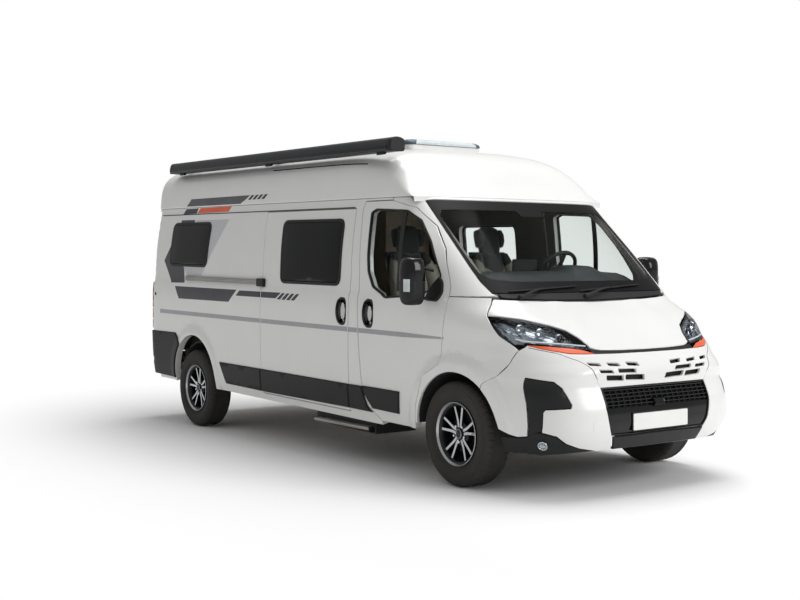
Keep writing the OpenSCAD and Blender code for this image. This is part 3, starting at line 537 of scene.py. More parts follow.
def clear(name, code, share):
    """Thin glazing: most light goes straight through its two tinted faces, more is thrown back at a slant."""
    mat = finish(name, "#08090a", "#0b0c0d", .02, 400, spread=.01)
    tree = mat.node_tree
    shader = next(n for n in tree.nodes if n.type == "BSDF_PRINCIPLED")
    out = next(n for n in tree.nodes if n.type == "OUTPUT_MATERIAL")
    through = add(tree, "ShaderNodeBsdfTransparent", Color=linear(code))
    slant = add(tree, "ShaderNodeLayerWeight", Blend=.5)
    steep = add(tree, "ShaderNodeMath", [(0, slant, "Facing")], operation="POWER")
    steep.inputs[1].default_value = 4.0
    less = add(tree, "ShaderNodeMapRange", [("Value", steep, "Value")], To_Min=share, To_Max=.3)
    both = add(tree, "ShaderNodeMixShader", [("Fac", less, "Result"), (1, shader, "BSDF"), (2, through, "BSDF")])
    tree.links.new(both.outputs["Shader"], out.inputs["Surface"])
    return mat


# Baked white enamel under clear lacquer: deep even gloss with a trace of orange peel
paint = finish("baked_enamel", "#dededc", "#e2e2e0", .3, 9, bump=.01, coat=.35, spread=.03, veil=.14)
# The same body in the shade of its inside: matt primer and felted lining
lining = finish("felted_lining", "#77756f", "#8a8882", .9, 2.2, bump=.25, sheen=.3)
# Moulded black polypropylene: dull, with a fine leather grain
plastic = finish("moulded_polypropylene", "#151617", "#1e1f21", .55, 1.8, bump=.12, gleam=.3)
# Gloss-moulded ABS: black with a soft reflection
gloss_black = finish("gloss_abs", "#08090a", "#0c0d0e", .12, 30, spread=.03, gleam=.35)
# Extruded rubber seal: nearly black, dusty bloom
rubber = finish("epdm_seal", "#0e0e0f", "#151516", .7, 3, bump=.05)
# Vulcanised tyre rubber: charcoal with dusty wear
tyre_rubber = finish("vulcanised_rubber", "#201f1e", "#302d2a", .78, 4, bump=.2, spread=.1)
# Cast acrylic tinted near black: mirror-smooth, swallows light
tint = finish("cast_tinted_acrylic", "#060708", "#0a0c0e", .05, 200, spread=.02, gleam=.16)
# Laminated glass: clear, with sharp reflections
glass = clear("laminated_glass", "#fafcfb", .985)
# Toughened side glass: as clear as the screen
side_glass = clear("tempered_glass", "#fafcfb", .985)
# Black ceramic edge fired onto the windscreen: flat, with next to no gleam of its own
frit = finish("ceramic_frit", "#060607", "#0a0a0b", .42, 20, gleam=.1)
# Privacy glass at the rear: black, smooth and closed to the eye
dark_glass = finish("privacy_glass", "#08090b", "#0d0f11", .05, 300, spread=.02, gleam=.25)
# Blue-grey cast acrylic of a roof dome: smooth with a milky depth
dome = finish("slate_acrylic", "#3c4c58", "#4b5c68", .38, 90, spread=.05, gleam=.3)
# Milky acrylic, where light comes through: pale and soft; on the front of the roof dome it is a painted highlight
milky_and_highlight = finish("milky_acrylic_and_highlight", "#b9c3c6", "#d4dadb", .3, 60, spread=.05)
# Anodised aluminium extrusion: dark grey, brushed along its length
anthracite = finish("anthracite_anodised", "#2a2c2f", "#35373b", .42, 4, metal=.55, stretch=(.05, 1, 1), bump=.03)
# Clear-anodised aluminium: silver with drawn lines along the length
silver = finish("drawn_aluminium", "#8f8d88", "#a5a39e", .34, 3, metal=1.0, stretch=(.04, 1, 1), bump=.03)
# Machined alloy face: bright and fine-grained
machined = finish("machined_alloy", "#a9abae", "#c6c8cb", .28, 3, metal=1.0, bump=.01)
# Powder-coated alloy: black satin with fine texture
black_alloy = finish("powder_coated_alloy", "#121315", "#1a1b1e", .35, 2.5, metal=.3, bump=.03)
# Vapour-plated chrome of a lamp bowl: bright and mirror-smooth
chrome = finish("vapour_chrome", "#c9ccd0", "#e2e4e6", .08, 50, metal=1.0, spread=.03)
# Smoked chrome of the lamp surround: duller, with a blurred gleam
smoked = finish("smoked_chrome", "#c4c8cd", "#dfe2e6", .22, 40, metal=.8, spread=.05)
# Clear polycarbonate cover of a lamp: see-through, a little greyer than glass
lens = clear("clear_polycarbonate", "#f4f6f8", .93)
# Red acrylic lens moulded with fine prisms: deep red with a sparkle
red_lens = finish("red_prism_acrylic", "#8c0f12", "#b5161a", .12, 6, bump=.2, coat=.5)
# Orange film: warm, satin
orange = finish("orange_foil", "#d9532b", "#e5602f", .3, 12)
# Amber acrylic of a turn lamp: warm, with a moulded pattern
amber = finish("amber_acrylic", "#d8742a", "#e58a35", .15, 8, bump=.1, coat=.4)
# Cast vinyl foil for the side shapes: smooth and satin, in four greys
foil_dark = finish("charcoal_foil", "#34353a", "#3e3f44", .35, 30, gleam=.3)
foil_mid = finish("mid_grey_foil", "#97989b", "#a0a1a4", .3, 30)
foil_light = finish("pale_grey_foil", "#bcbdbf", "#c4c5c7", .3, 30)
foil_grade = finish("graded_grey_foil", "#4c4d52", "#5a5b60", .35, 30, gleam=.3)
# Rough cast iron under the floor
iron = finish("rough_cast_iron", "#2b2b2c", "#3a3a3a", .7, 5, metal=.5, bump=.3)
# Galvanised steel: dull grey, faintly mottled
steel = finish("galvanised_steel", "#55585a", "#6d7072", .5, 12, metal=.7, bump=.05)
# Cast block of the engine: rough grey metal
engine_cast = finish("cast_block", "#3d4042", "#505355", .6, 6, metal=.6, bump=.3)
# Underbody sealant: black, rubbery and lumpy
sealant = finish("sprayed_sealant", "#18191a", "#232425", .75, 8, bump=.5)
# Vinyl floor with a plank-coloured print: warm grey-brown, drawn out along the van
floor_vinyl = finish("printed_vinyl", "#7c746a", "#93897c", .55, 14, stretch=(.12, 1, 1), bump=.05)
# Light board of the furniture: pale and satin, with fine wood grain lying level
board = finish("grained_board", "#c4b195", "#d6c6ad", .45, 10, stretch=(.06, .06, 1), bump=.05)
# Soft-touch dashboard skin: charcoal with leather grain
dash_skin = finish("slush_moulded_pvc", "#202224", "#2b2d30", .6, 2.6, bump=.2)
# Cloth-faced trim on the screen posts: pale, matt and soft
pale_trim = finish("pale_trim_fabric", "#b5b1a8", "#c4c0b7", .85, 1.6, bump=.15, sheen=.2)
# Woven seat cloth: dark and matt, its grain drawn coarse so that it shows
seat_cloth = finish("woven_polyester", "#2c2c2e", "#3c3c3e", .9, 2.4, bump=.35, sheen=.4)
# Leatherette of the seats' bolsters: greige, with a soft sheen and a fine grain
bolster_cloth = finish("greige_leatherette", "#9a948a", "#aba59b", .6, 2.6, bump=.25, sheen=.1)
# Cotton mattress cover: off-white, matt and soft
ticking = finish("cotton_ticking", "#c8c5be", "#d8d5ce", .9, 2.4, bump=.3, sheen=.3)
# Reflective sheeting of the blank plates: near white, satin
plate_white = finish("reflective_sheeting", "#dcdcda", "#e6e6e4", .35, 5)

cad_finish = {
    "floor": floor_vinyl, "wheel_houses": sealant, "front_subframe": iron, "rear_axle": iron, "engine": engine_cast,
    "underbody": sealant, "cab_frame": lining, "furniture": board, "left_knuckle": iron, "right_knuckle": iron,
    "rear_bumper": plastic, "side_trim": plastic, "hatch_frame": plate_white, "steering_wheel": dash_skin,
    "dashboard": dash_skin, "side_step": silver,
}
for node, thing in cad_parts.items():
    thing.data.materials.clear()
    thing.data.materials.append(cad_finish.get(node, paint))

# ---- Outlines, as (x, z) on the side, (y, z) across the front or rear ----
EDGES = [345, 361, 400, 440, 519, 616, 733, 833, 900, 1016, 1150, 1218, 1292, 1368, 1434, 1535, 1635, 1790, 1930, 1985]
GAP = 6
door = [(door_front(z), z) for z in EDGES] + [(door_back(z), z) for z in reversed(EDGES)]
door_glass = rounded([(AXLE_F + x, z) for x, z in [
    (-1119, 1904), (-1055, 1929), (-662, 1912), (-513, 1839), (-366, 1683), (-207, 1447), (-215, 1380),
    (-400, 1300), (-840, 1263), (-1032, 1338), (-1100, 1450), (-1116, 1573)]][::-1], 16, 2)


def arch(cx, z0):
    """The edge of a wheel arch, from its rear foot to its front foot."""
    a0 = math.asin((z0 - TYRE_R) / ARCH)
    return [(cx + 1 + ARCH * math.cos(t), TYRE_R + ARCH * math.sin(t)) for t in np.linspace(math.pi - a0, a0, 28)]


def door_side(z):
    """Half width of the rear doorway at a height."""
    return float(np.interp(z, [565, 1250, 1900, 1990, 2210, 2260], [884, 884, 844, 837, 822, 774]))


def corner(z, y):
    """Where a point of the rear lies on the side skin, wrapped round the corner."""
    short = half_w(z) - y
    bend = CORNER * math.pi / 2 + short - CORNER if short > CORNER else CORNER * math.acos(max(-1, 1 - short / CORNER))
    return tail_x(z) + CORNER - bend


side_outline = (
    [(corner(z, door_side(z) + 7), z) for z in (2007, 1800, 1600, 1400, 1200, 1000, 800, 566)]
    + [(TAIL + 182, 566), (TAIL + 182, SILL)] + arch(AXLE_B, SILL)
    + [(door_back(z) - 7, z) for z in [315] + EDGES[:-1]] + [(843, 1992), (1205, 1992), (1190, 2007)])
slide_door = box(-668, 375, 722, 1933)
slide_hole = box(-668 - GAP, 375 - GAP, 722 + GAP, 1933 + GAP)
rear_window = rounded([(-2565, 1446), (-1765, 1446), (-1715, 1858), (-2530, 1858)], 70)
slide_window = rounded([(-355, 1337), (572, 1340), (584, 1853), (-360, 1854)], 66)
left_window = rounded(box(-368, 1392, 422, 1846), 66)
# The plain coloured shapes on the flank, each with its foil
marks = [
    ([(-2554, 1654), (-2708, 1493), (-2511, 1278), (-2214, 1284), (-2248, 1435)], foil_dark),
    ([(-2054, 1885), (-2258, 1435), (-2182, 1346), (-1870, 1358), (-1372, 1885)], foil_light),
    ([(-2393, 1852), (-2094, 1853), (-2086, 1889), (-2384, 1890)], foil_dark),
    ([(-2410, 1247), (-2314, 1128), (-1266, 1137), (-1118, 1251)], foil_dark),
    ([(-1126, 1198), (-406, 1201), (-321, 1252), (-1067, 1247)], foil_dark),
    ([(-2368, 1946), (-2075, 1950), (-2046, 1999), (-2316, 1997)], foil_dark),
    ([(-2062, 1950), (-1412, 1955), (-1363, 2004), (-2004, 2001)], orange),
    ([(-2750, 968), (-500, 980), (1440, 992), (1930, 1007), (1930, 1021), (1440, 1028), (-500, 1018), (-2750, 1008)],
     foil_mid),
]
marks += [([(-386 + x, 1195), (-327 + x, 1194), (-251 + x, 1250), (-302 + x, 1250)], foil_dark)
          for x in range(0, 235, 78)]
waist = [[(x, z) for x in np.arange(-3100, 2400, 40)] for z in WAIST]

# ---- Body panels ----
sheet("left_side_skin", FLANK, side_outline, [paint, lining], "body", "white_paint", 60,
      holes=[rear_window, left_window], step=48, marks=marks, lines=waist + swell_lines, replaces=("left_side_panel",))
sheet("right_side_skin", FLANK, side_outline, [paint, lining], "body", "white_paint", 60, side=-1,
      holes=[rear_window, slide_hole], step=48, marks=marks, lines=waist + swell_lines, replaces=("right_side_panel",))
sheet("sliding_door_skin", FLANK, slide_door, [paint, lining], "body", "white_paint", 60, side=-1, lift=.8,
      holes=[slide_window], step=45, marks=marks, lines=waist, replaces=("sliding_door",))
door_marks = [m for m in marks if m[1] is foil_mid]
pair("cab_door_skin", FLANK, door, [paint, lining], body="SIDE_cab_door", slot="white_paint", t=58, step=42,
     holes=[door_glass], marks=door_marks, lines=waist + swell_lines, replaces=("SIDE_cab_door",), rim=4)

wing_lip = [(AXLE_F + 1 + ARCH * math.cos(t), TYRE_R + ARCH * math.sin(t))
            for t in np.linspace(math.radians(180 - 3), math.radians(53), 30)]
wing_lip = [p for p in wing_lip if p[0] > door_front(max(345, p[1])) + GAP]
wing = (wing_lip + [(wing_front(z), z) for z in (735, 800, 880, 975, 1060, 1150, 1190, 1240, 1301)]
        + [(door_front(z) + GAP, z) for z in (1301, 1218, 1150, 1016, 900, 833, 733, 616, 519, 440, 400)
           if (door_front(z) + GAP - AXLE_F - 1) ** 2 + (z - TYRE_R) ** 2 > ARCH ** 2 + 900 or z > 800])
pair("wing_skin", FLANK, wing, [paint, plastic], slot="white_paint", t=18, step=32, marks=door_marks,
     lines=swell_lines, replaces=("front_wings",), rim=2.5)

hood_edge = [at_y(y, hood_low(y)) for y in (
    0, 100, 200, 300, 400, 440, 474, 488, 502, 528, 556, 600, 641, 700, 750, 800, 850, 900)]
hood_side = [at_x(wing_front(z) + GAP, z) for z in (1190, 1200, 1220, 1240, 1260)]
hood_top = [at_y(y, hood_high(y)) for y in (840, 780, 700, 600, 500, 400, 300, 200, 100, 0)]


def hood_crown(w, z):
    """A soft ridge down each side of the hood."""
    return 7 * math.exp(-((abs(w) - 520 + (z - 960) * .25) / 70) ** 2) * min(1, (z - 940) / 120) if z > 940 else 0


sheet("hood_skin", NOSE, mirrored(hood_edge + hood_side + hood_top), [paint, plastic], "hood", "white_paint", 12,
      step=38, replaces=("hood",), rim=4, swell=hood_crown)

cowl_half = [at_y(y, hood_high(y) + 14) for y in range(0, 781, 60)] + [at_y(790, 1318), at_y(790, 1330)]
cowl_half += [at_y(y, 1330) for y in range(720, -1, -80)]
sheet("cowl_panel", NOSE, mirrored(cowl_half), [plastic], "body", "black_plastic", 15, step=45, replaces=("cowl",),
      lift=-2)

half_screen = ([at_y(y, 1332) for y in range(0, 800, 90)]
               + [at_y(screen_half(z), z) for z in (1332, 1400, 1500, 1600, 1700, 1800, 1900, 1984)]
               + [at_y(y, 1985) for y in range(760, -1, -90)])
see_through = mirrored([at_y(y, z) for y, z in (
    (0, 1408), (200, 1408), (400, 1408), (600, 1408), (770, 1424), (822, 1470), (826, 1700), (812, 1870), (780, 1908),
    (680, 1914), (500, 1914), (300, 1914), (130, 1914), (115, 1872), (0, 1868))])
sheet("windscreen_frit", NOSE, mirrored(half_screen), [frit], "body", "clear_glass", 6, holes=[see_through], step=40,
      rim=1.5)
sheet("windscreen_glass", NOSE, see_through, [glass], "body", "clear_glass", 4, step=60, rim=.5, lift=-.3,
      replaces=("windscreen",))

post_outer = [at_x(door_front(z) + GAP, z) for z in (1306, 1368, 1434, 1535, 1635, 1790, 1930, 1985)]
post_outline = (post_outer + [at_x(1207, 2006)] + [at_y(y, 2006) for y in (800, 600, 400, 200, 0)]
                + [at_y(y, 1991) for y in (0, 200, 400, 600, 780)]
                + [at_y(screen_half(z) + 6, z) for z in (1980, 1900, 1800, 1700, 1600, 1500, 1400, 1330)]
                + [at_y(802, 1312)])
pair("screen_post", NOSE, post_outline, [paint, lining], slot="white_paint", t=14, step=36, lift=1.5, rim=3)

# ---- Roof ----
roof_run = BROW_X - TAIL


def roof_tail(w):
    """Where the roof meets the rear, as a distance behind the brow's edge."""
    d = roof_run
    for _ in range(12):
        x, _, z = over_roof(d, w)
        d += x - tail_x(z)
    return d


hatch_cut = [(BROW_X - x, y) for x, y in ((581, -340), (581, 340), (41, 340), (41, -340))]
ws = [ROOF_EDGE * k / 16 for k in range(-16, 17)]
roof_outline = [(0, w) for w in ws] + [(roof_tail(w) - 2, w) for w in reversed(ws)]


def roof_w(z):
    """Distance round from the roof's middle at a height of its side, behind the brow."""
    a = math.asin(min(1, ((z - SEAM) / (ROOF - SEAM)) ** 2))
    return ROOF_EDGE - float(np.interp(math.degrees(a), TURNS, ROOF_ARCS))


roof_shapes = [([(-2318, 2010), (-1206, 2012), (-1018, 2094), (-2211, 2091)], foil_grade)]
roof_shapes += [([(-1061 + k, 2053), (-1007 + k, 2053), (-937 + k, 2093), (-990 + k, 2093)], foil_dark)
                for k in range(0, 244, 81)]
roof_shapes += [([(-688, 2290), (823, 2286), (823, 2296), (-688, 2300)], rubber)]
roof_marks = [([(BROW_X - x, s * roof_w(max(2011, z))) for x, z in outline], mat) for outline, mat in roof_shapes
              for s in (1, -1)]
sheet("roof_skin", OVER, roof_outline, [paint, lining], "body", "white_paint", 42, holes=[hatch_cut], step=55,
      marks=roof_marks, replaces=("roof_panel", "roof_brow"), rim=3)

# ---- Windows ----
def grown(outline, d):
    """An outline moved outwards by a distance."""
    ring = list(outline) if area(list(outline)) > 0 else list(reversed(outline))
    return moved_in(ring, -d)


def acrylic_window(name, outline, side, pane=tint, replaces=()):
    """A hinged caravan window: a raised black frame with a tinted pane that bulges a little."""
    lo, hi = np.min(outline, 0), np.max(outline, 0)

    def crown(u, v):
        """The pane's bulge."""
        a, b = 2 * (u - lo[0]) / (hi[0] - lo[0]) - 1, 2 * (v - lo[1]) / (hi[1] - lo[1]) - 1
        return 7 * (1 - abs(a) ** 4) * (1 - abs(b) ** 4)
    sheet(name + "_frame", FLANK, grown(outline, 7), [plastic], "body", "black_plastic", 30,
          holes=[grown(outline, -19)], side=side, step=30, rim=5, lift=9)
    sheet(name + "_pane", FLANK, grown(outline, -16), [pane], "body", "tinted_acrylic", 18, side=side, step=34, rim=6,
          lift=8, swell=crown, replaces=replaces)


acrylic_window("right_rear_window", rear_window, -1, replaces=("side_windows",))
acrylic_window("right_slide_window", slide_window, -1)
acrylic_window("left_rear_window", rear_window, 1)
acrylic_window("left_window", left_window, 1, side_glass)
pair("door_glass_seal", FLANK, grown(door_glass, 1), [rubber], body="SIDE_cab_door", slot="black_plastic", t=20, rim=3,
     holes=[grown(door_glass, -13)], step=30, lift=1)
pair("door_pane", FLANK, grown(door_glass, -11), [side_glass], body="SIDE_cab_door", slot="dark_glass", t=5, rim=.5,
     step=45, lift=-9, replaces=("SIDE_door_glass",))
quarter = [(1341, 1900), (1334, 1500), (1330, 1318), (1372, 1326), (1380, 1500), (1388, 1896)]
pair("quarter_bar", FLANK, quarter, [rubber], body="SIDE_cab_door", slot="black_plastic", t=9, rim=2, step=30, lift=-3)

# ---- Lower mouldings, door handles, rail ----
for side, word in SIDES:
    pillar = [(door_back(z) - 12, z) for z in (400, 440, 519, 586)]
    front_end = pillar if side > 0 else [(724, 400), (724, 584)]
    strips = [("middle", [(-1340, 390), (-676, 388), (-676, 581), (-1448, 577)], ()),
              ("pillar", [(736, 400)] + pillar + [(736, 584)], ()),
              ("centre", [(-666, 387)] + front_end + [(-666, 581)], ("side_trim",) if side > 0 else ())]
    # On the left the centre strip runs on to the door, so there is no pillar strip
    for part, outline, stands_for in strips if side < 0 else strips[::2]:
        sheet(f"{word}_{part}_moulding", FLANK, outline, [plastic], "body", "black_plastic", 16, side=side, step=40,
              rim=7, lift=16, replaces=stands_for)
    edge = [(door_back(440) + 60, 430), (door_back(519) + 4, 520), (door_back(590) + 4, 590), (1404, 592), (1392, 427)]
    sheet(f"{word}_door_moulding", FLANK, edge, [plastic], f"{word}_cab_door", "black_plastic", 14, side=side, step=36,
          rim=7, lift=15)


def pull(name, x, side, body):
    """A flush black bezel with an upright bowed grip and a key barrel."""
    outline = [(x + u, 1142 + v) for u, v in squared(64, 111, 2 / 3.2, 2 / 3.2, 28)]
    sheet(name + "_bezel", FLANK, outline, [gloss_black], body, "black_plastic", 12, side=side,
          step=26, rim=5, lift=5, swell=lambda u, v: -9 * math.exp(-((u - x - 14) / 34) ** 2 - ((v - 1142) / 80) ** 2))
    path = [(x - 22 + 3 * math.sin(t * math.pi), side * (skin_y(x, 1142) + 4 + 30 * math.sin(t * math.pi) ** .6),
             1052 + 180 * t) for t in np.linspace(0.02, .98, 13)]
    sweep(name + "_grip", path, ellipse(13, 9, 12), [gloss_black], body, "black_plastic", up=(1, 0, 0))
    lathe(name + "_key_barrel", [(0, 0), (10, 0), (12, 3), (9, 6), (5, 7), (0, 7)],
          (x + 34, side * (skin_y(x, 1075) + 3), 1075), (0, side, 0), [silver], body, "black_plastic", n=20)


pull("left_door_handle", 1008, 1, "left_cab_door")
pull("right_door_handle", 1008, -1, "right_cab_door")
pull("slide_handle", 636, -1, "body")
rail_y = -(skin_y(-1500, 1330) + 4)
ridged = [(0, -24), (16, -24), (18, -19), (13, -16), (13, -8), (18, -5), (18, 5), (13, 8), (13, 16), (18, 19), (16, 24),
          (0, 24)]
sweep("slide_rail", [(x, rail_y, 1329) for x in np.linspace(-2170, -734, 13)], ridged, [silver], "body",
      "black_plastic")
sweep("slide_rail_end", [(x, rail_y, 1328) for x in (-734, -730, -620, -612)],
      [(0, -35), (18, -35), (26, -28), (26, 28), (18, 35), (0, 35)],
      [plastic], "body", "black_plastic", scale=(.9, 1, 1, .8))
for side, word in SIDES:
    sweep(f"{word}_gutter", [(x, side * (skin_y(x, 1943) + .6), 1943)
                             for x in np.arange(-2830, (740 if side < 0 else 1160), 60)],
          [(0, -4), (3, -3), (3, 3), (0, 4)] if side < 0 else [(0, 4), (-3, 3), (-3, -3), (0, -4)], [rubber], "body",
          "black_plastic")
lathe("lock_barrel", [(0, 0), (15, 0), (16, 4), (11, 6), (0, 6)], (-2854, -(flank(-2854, 1156)[1]), 1156), (0, -1, 0),
      [gloss_black], "body", "black_plastic", n=24)

# ---- Awning case on the right edge of the roof ----
case = [(-964, 2353), (-968, 2372), (-967, 2405), (-957, 2436), (-938, 2452), (-905, 2458), (-868, 2455), (-842, 2444),
        (-832, 2420), (-832, 2362), (-842, 2353), (-880, 2350)]
front_x, back_x = AXLE_F - 850, AXLE_F - 4700
loft("awning_case", [[(x, y, z) for y, z in case] for x in np.linspace(back_x + 45, front_x - 45, 9)], [anthracite],
     "body", "anthracite_case", replaces=("awning",), flip=True)
for k, x0, d in (("rear", back_x, 1), ("front", front_x, -1)):
    rings = [[(x0 + d * t, -900 + (y + 900) * s, 2403 + (z - 2403) * s) for y, z in case]
             for t, s in ((0, .82), (4, .95), (14, 1.015), (46, 1.015), (46, .99))]
    loft(f"awning_{k}_cap", rings, [plastic], "body", "black_plastic", flip=(d > 0))
sweep("awning_front_rail", [(x, -969, 2378) for x in np.linspace(back_x + 50, front_x - 50, 9)],
      [(0, -13), (3, -11), (4, 0), (3, 11), (0, 13)], [gloss_black], "body", "anthracite_case")
for i, x in enumerate((front_x - 200, (front_x + back_x) / 2, back_x + 200)):
    rings = [[(x - 45, y, z + 22), (x + 45, y, z + 22), (x + 45, y, z), (x - 45, y, z)] for y, z in
             ((-925, 2331), (-905, 2335), (-870, 2372), (-800, 2398), (-770, 2405))]
    loft(f"awning_bracket_{i}", rings, [plastic], "body", "black_plastic")

# ---- Roof hatch ----
def hatch_ring(grow, z, r=70):
    """A rounded oblong round the hatch at a height."""
    w, l = 380 + grow, 310 + grow
    return [(HATCH_X + x, y, z) for x, y in rounded(box(-l, -w, l, w), r, 5)]


rings = [hatch_ring(grow, z) for grow, z in ((-12, 2424), (-6, 2432), (-8, 2468), (-14, 2471), (-48, 2471),
                                             (-50, 2400))]
loft("hatch_collar", rings, [plate_white], "body", "hatch_plastic", caps=False, replaces=("hatch_frame",))
rings = [hatch_ring(-3, 2472), hatch_ring(0, 2476), hatch_ring(0, 2484), hatch_ring(-7, 2498), hatch_ring(-28, 2510),
         hatch_ring(-60, 2516), hatch_ring(-130, 2520, 50), hatch_ring(-220, 2522, 30)]
shell = loft("hatch_dome_shell", rings, [dome, milky_and_highlight], "roof_hatch", "dome_acrylic", replaces=("hatch_dome",))
# The front of the dome takes the pale acrylic: a painted highlight where light falls on that face
for p in shell.data.polygons:
    c = p.center
    if c[0] > .50 and c[2] < 2.56 and abs(c[1]) < .3:
        p.material_index = 1

# ---- Mirrors ----
def mirror(side, word):
    """A tall mirror on two arms: cup, glass, repeater and a foot on the door."""
    body = f"{word}_cab_door"

    def ring(x, y0, y1, z0, z1):
        """A squared oval across the mirror, from its inner to its outer edge and from bottom to top."""
        return [(x, side * ((y0 + y1) / 2 + u), (z0 + z1) / 2 + v)
                for u, v in squared((y1 - y0) / 2, (z1 - z0) / 2, .5, .5, 28)]
    rings = [ring(1706, 1078, 1226, 1248, 1562), ring(1700, 1074, 1234, 1243, 1568), ring(1722, 1066, 1246, 1238, 1574),
             ring(1752, 1068, 1248, 1237, 1575), ring(1790, 1078, 1244, 1240, 1572), ring(1815, 1094, 1232, 1252, 1560),
             ring(1832, 1120, 1206, 1290, 1522), ring(1836, 1140, 1186, 1340, 1470)]
    cup = loft(f"{word}_mirror_cup", rings, [plastic, gloss_black], body, "black_plastic", replaces=(f"{word}_mirror",),
               flip=(side < 0))
    # The upper part of the cup is glossy
    for p in cup.data.polygons:
        if p.center[2] > 1.405 and p.center[0] > 1.70:
            p.material_index = 1
    loft(f"{word}_mirror_glass", [ring(1699, 1084, 1224, 1252, 1558), ring(1696, 1090, 1218, 1260, 1550)], [chrome],
         body, "black_plastic", flip=(side < 0))
    rings = [[(x, side * y, z) for x, y in ((1772, 1250), (1822, 1236), (1818, 1228), (1770, 1240))]
             for z in (1334, 1338, 1416, 1420)]
    loft(f"{word}_mirror_repeater", rings, [milky_and_highlight], body, "lamp_lens", flip=(side < 0))
    for i, z in enumerate((1269, 1477)):
        arm = [(1748, side * 1085, z + 22), (1752, side * 1050, z + 15), (1760, side * 1010, z + 6),
               (1766, side * (skin_y(1766, 1300) - 12), z)]
        sweep(f"{word}_mirror_arm_{i}", arm, ellipse(24, 11, 14), [plastic], body, "black_plastic")
    foot = [(1700, 1268), (1846, 1262), (1888, 1330), (1876, 1400), (1836, 1440), (1760, 1372), (1706, 1300)]
    sheet(f"{word}_mirror_foot", FLANK, rounded(foot, 18), [plastic], body, "black_plastic", 14, side=side, step=28,
          rim=7, lift=14)


for side, word in SIDES:
    mirror(side, word)

# ---- Front fascia ----
def behind(z):
    """Where the bumper ends, at the wheel arch and above it at the wing."""
    if z >= 730:
        return wing_front(z) + GAP
    return AXLE_F + max(246, math.sqrt(max(0, ARCH ** 2 - (z - TYRE_R) ** 2)))


side_edge = [at_x(behind(z), z) for z in (
    296, 330, 364, 400, 450, 500, 550, 600, 650, 700, 735, 800, 860, 920, 968)]
# The corner pod is a notch in the white shell: an upper lobe and a leg that runs down into the band
pod_in = [at_y(863, 455), at_y(866, 583), at_y(858, 601), at_y(742, 614), at_y(731, 640), at_y(757, 743),
          at_y(800, 783)]
pod_out = [at_y(905, 803), at_y(915, 600), at_y(899, 420)]
band_top = [at_y(521, 326), at_y(655, 351), at_y(744, 386), at_y(802, 434)]
top_edge = [at_y(y, z) for y, z in (
    (861, 992), (850, 1004), (790, 983), (720, 968), (650, 955), (555, 951), (478, 951), (300, 948), (0, 947))]
white_half = ([(0, 738), at_y(497, 738), at_y(496, 609), at_y(440, 425), at_y(408, 332)] + band_top + pod_in + pod_out
              + [at_x(2600, 410)] + side_edge[4:] + top_edge)
# Slots over the grille: lower corner, breadth and height of each
slot_holes = []
for y, z, w, h in ((95, 768, 176, 37), (290, 772, 152, 36), (185, 819, 160, 32), (388, 826, 112, 25),
                   (148, 865, 106, 25), (318, 870, 98, 21), (474, 876, 88, 19)):
    hole = rounded([(y, z), (y + w, z + 7), (y + w + 10, z + 7 + h), (y + 10, z + h)], 6, 2)
    slot_holes += [[at_y(a, b) for a, b in hole], [at_y(-a, b) for a, b in reversed(hole)]]
seam_path = [at_y(y, z) for y, z in ((848, 990), (726, 959), (619, 910), (560, 860), (527, 797), (502, 742))]
seam_mark = [(w, z - 2.5) for w, z in seam_path] + [(w + 2, z + 2.5) for w, z in reversed(seam_path)]
sheet("bumper_skin", NOSE, mirrored(white_half), [paint, plastic], "body", "white_paint", 18, holes=slot_holes, step=30,
      rim=3, replaces=("front_bumper",), lift=.5,
      lines=[[at_x(x, z, s) for x, z in line if x > 2300 and z < 960] for line in swell_lines[:3] for s in (1, -1)],
      marks=[(seam_mark, rubber), ([(-w, z) for w, z in reversed(seam_mark)], rubber)])
# Black lower band from arch to arch, with its lip under the grille
band_half = [(0, 330), at_y(420, 329), at_y(641, 320), at_y(813, 292)] + side_edge[:4] + [
    at_x(2600, 404), at_y(896, 414), at_y(894, 449), at_y(866, 449), at_y(804, 428), at_y(746, 380), at_y(655, 345),
    at_y(521, 336), (0, 340)]
sheet("lower_band", NOSE, mirrored(band_half), [plastic], "body", "black_plastic", 18, step=34, rim=5, lift=-2)
lip_half = [(0, 330), at_y(398, 331), at_y(432, 420), (0, 424)]
sheet("lower_lip", NOSE, mirrored(lip_half), [gloss_black], "body", "black_plastic", 12,
      step=30, rim=6, lift=8)
for side, word in SIDES:
    pod = grown(pod_in + pod_out, -4)
    sheet(f"{word}_corner_pod", NOSE, pod, [plastic], "body", "black_plastic", 16, side=side, step=26, rim=5, lift=-3,
          swell=lambda w, z: 6 * math.exp(-((z - 690) / 40) ** 2))
    w0, z0 = at_y(836, 371)
    c = Vector(nose(w0, z0))
    n = (Vector(nose(w0 + 20, z0)) - Vector(nose(w0 - 20, z0))).cross(
        Vector(nose(w0, z0 + 20)) - Vector(nose(w0, z0 - 20))).normalized()
    n = n if n[0] > 0 else -n
    c = c + n * 7
    c[1] *= side
    n[1] *= side
    lathe(f"{word}_fog_ring", [(33, -18), (34, 3), (32, 8), (27, 8), (24, 3), (24, -18)], c, n, [chrome], "body",
          "lamp_lens", n=40, closed=True)
    lathe(f"{word}_fog_lens", [(0, 6), (15, 5), (23, 2), (25, 0), (0, 0)], c, n, [lens], "body", "lamp_lens", n=32)
    lathe(f"{word}_fog_bowl", [(0, -7), (10, -6), (19, -3), (24, 1), (26, 1), (26, -12), (0, -12)], c, n, [chrome],
          "body", "lamp_lens", n=32)

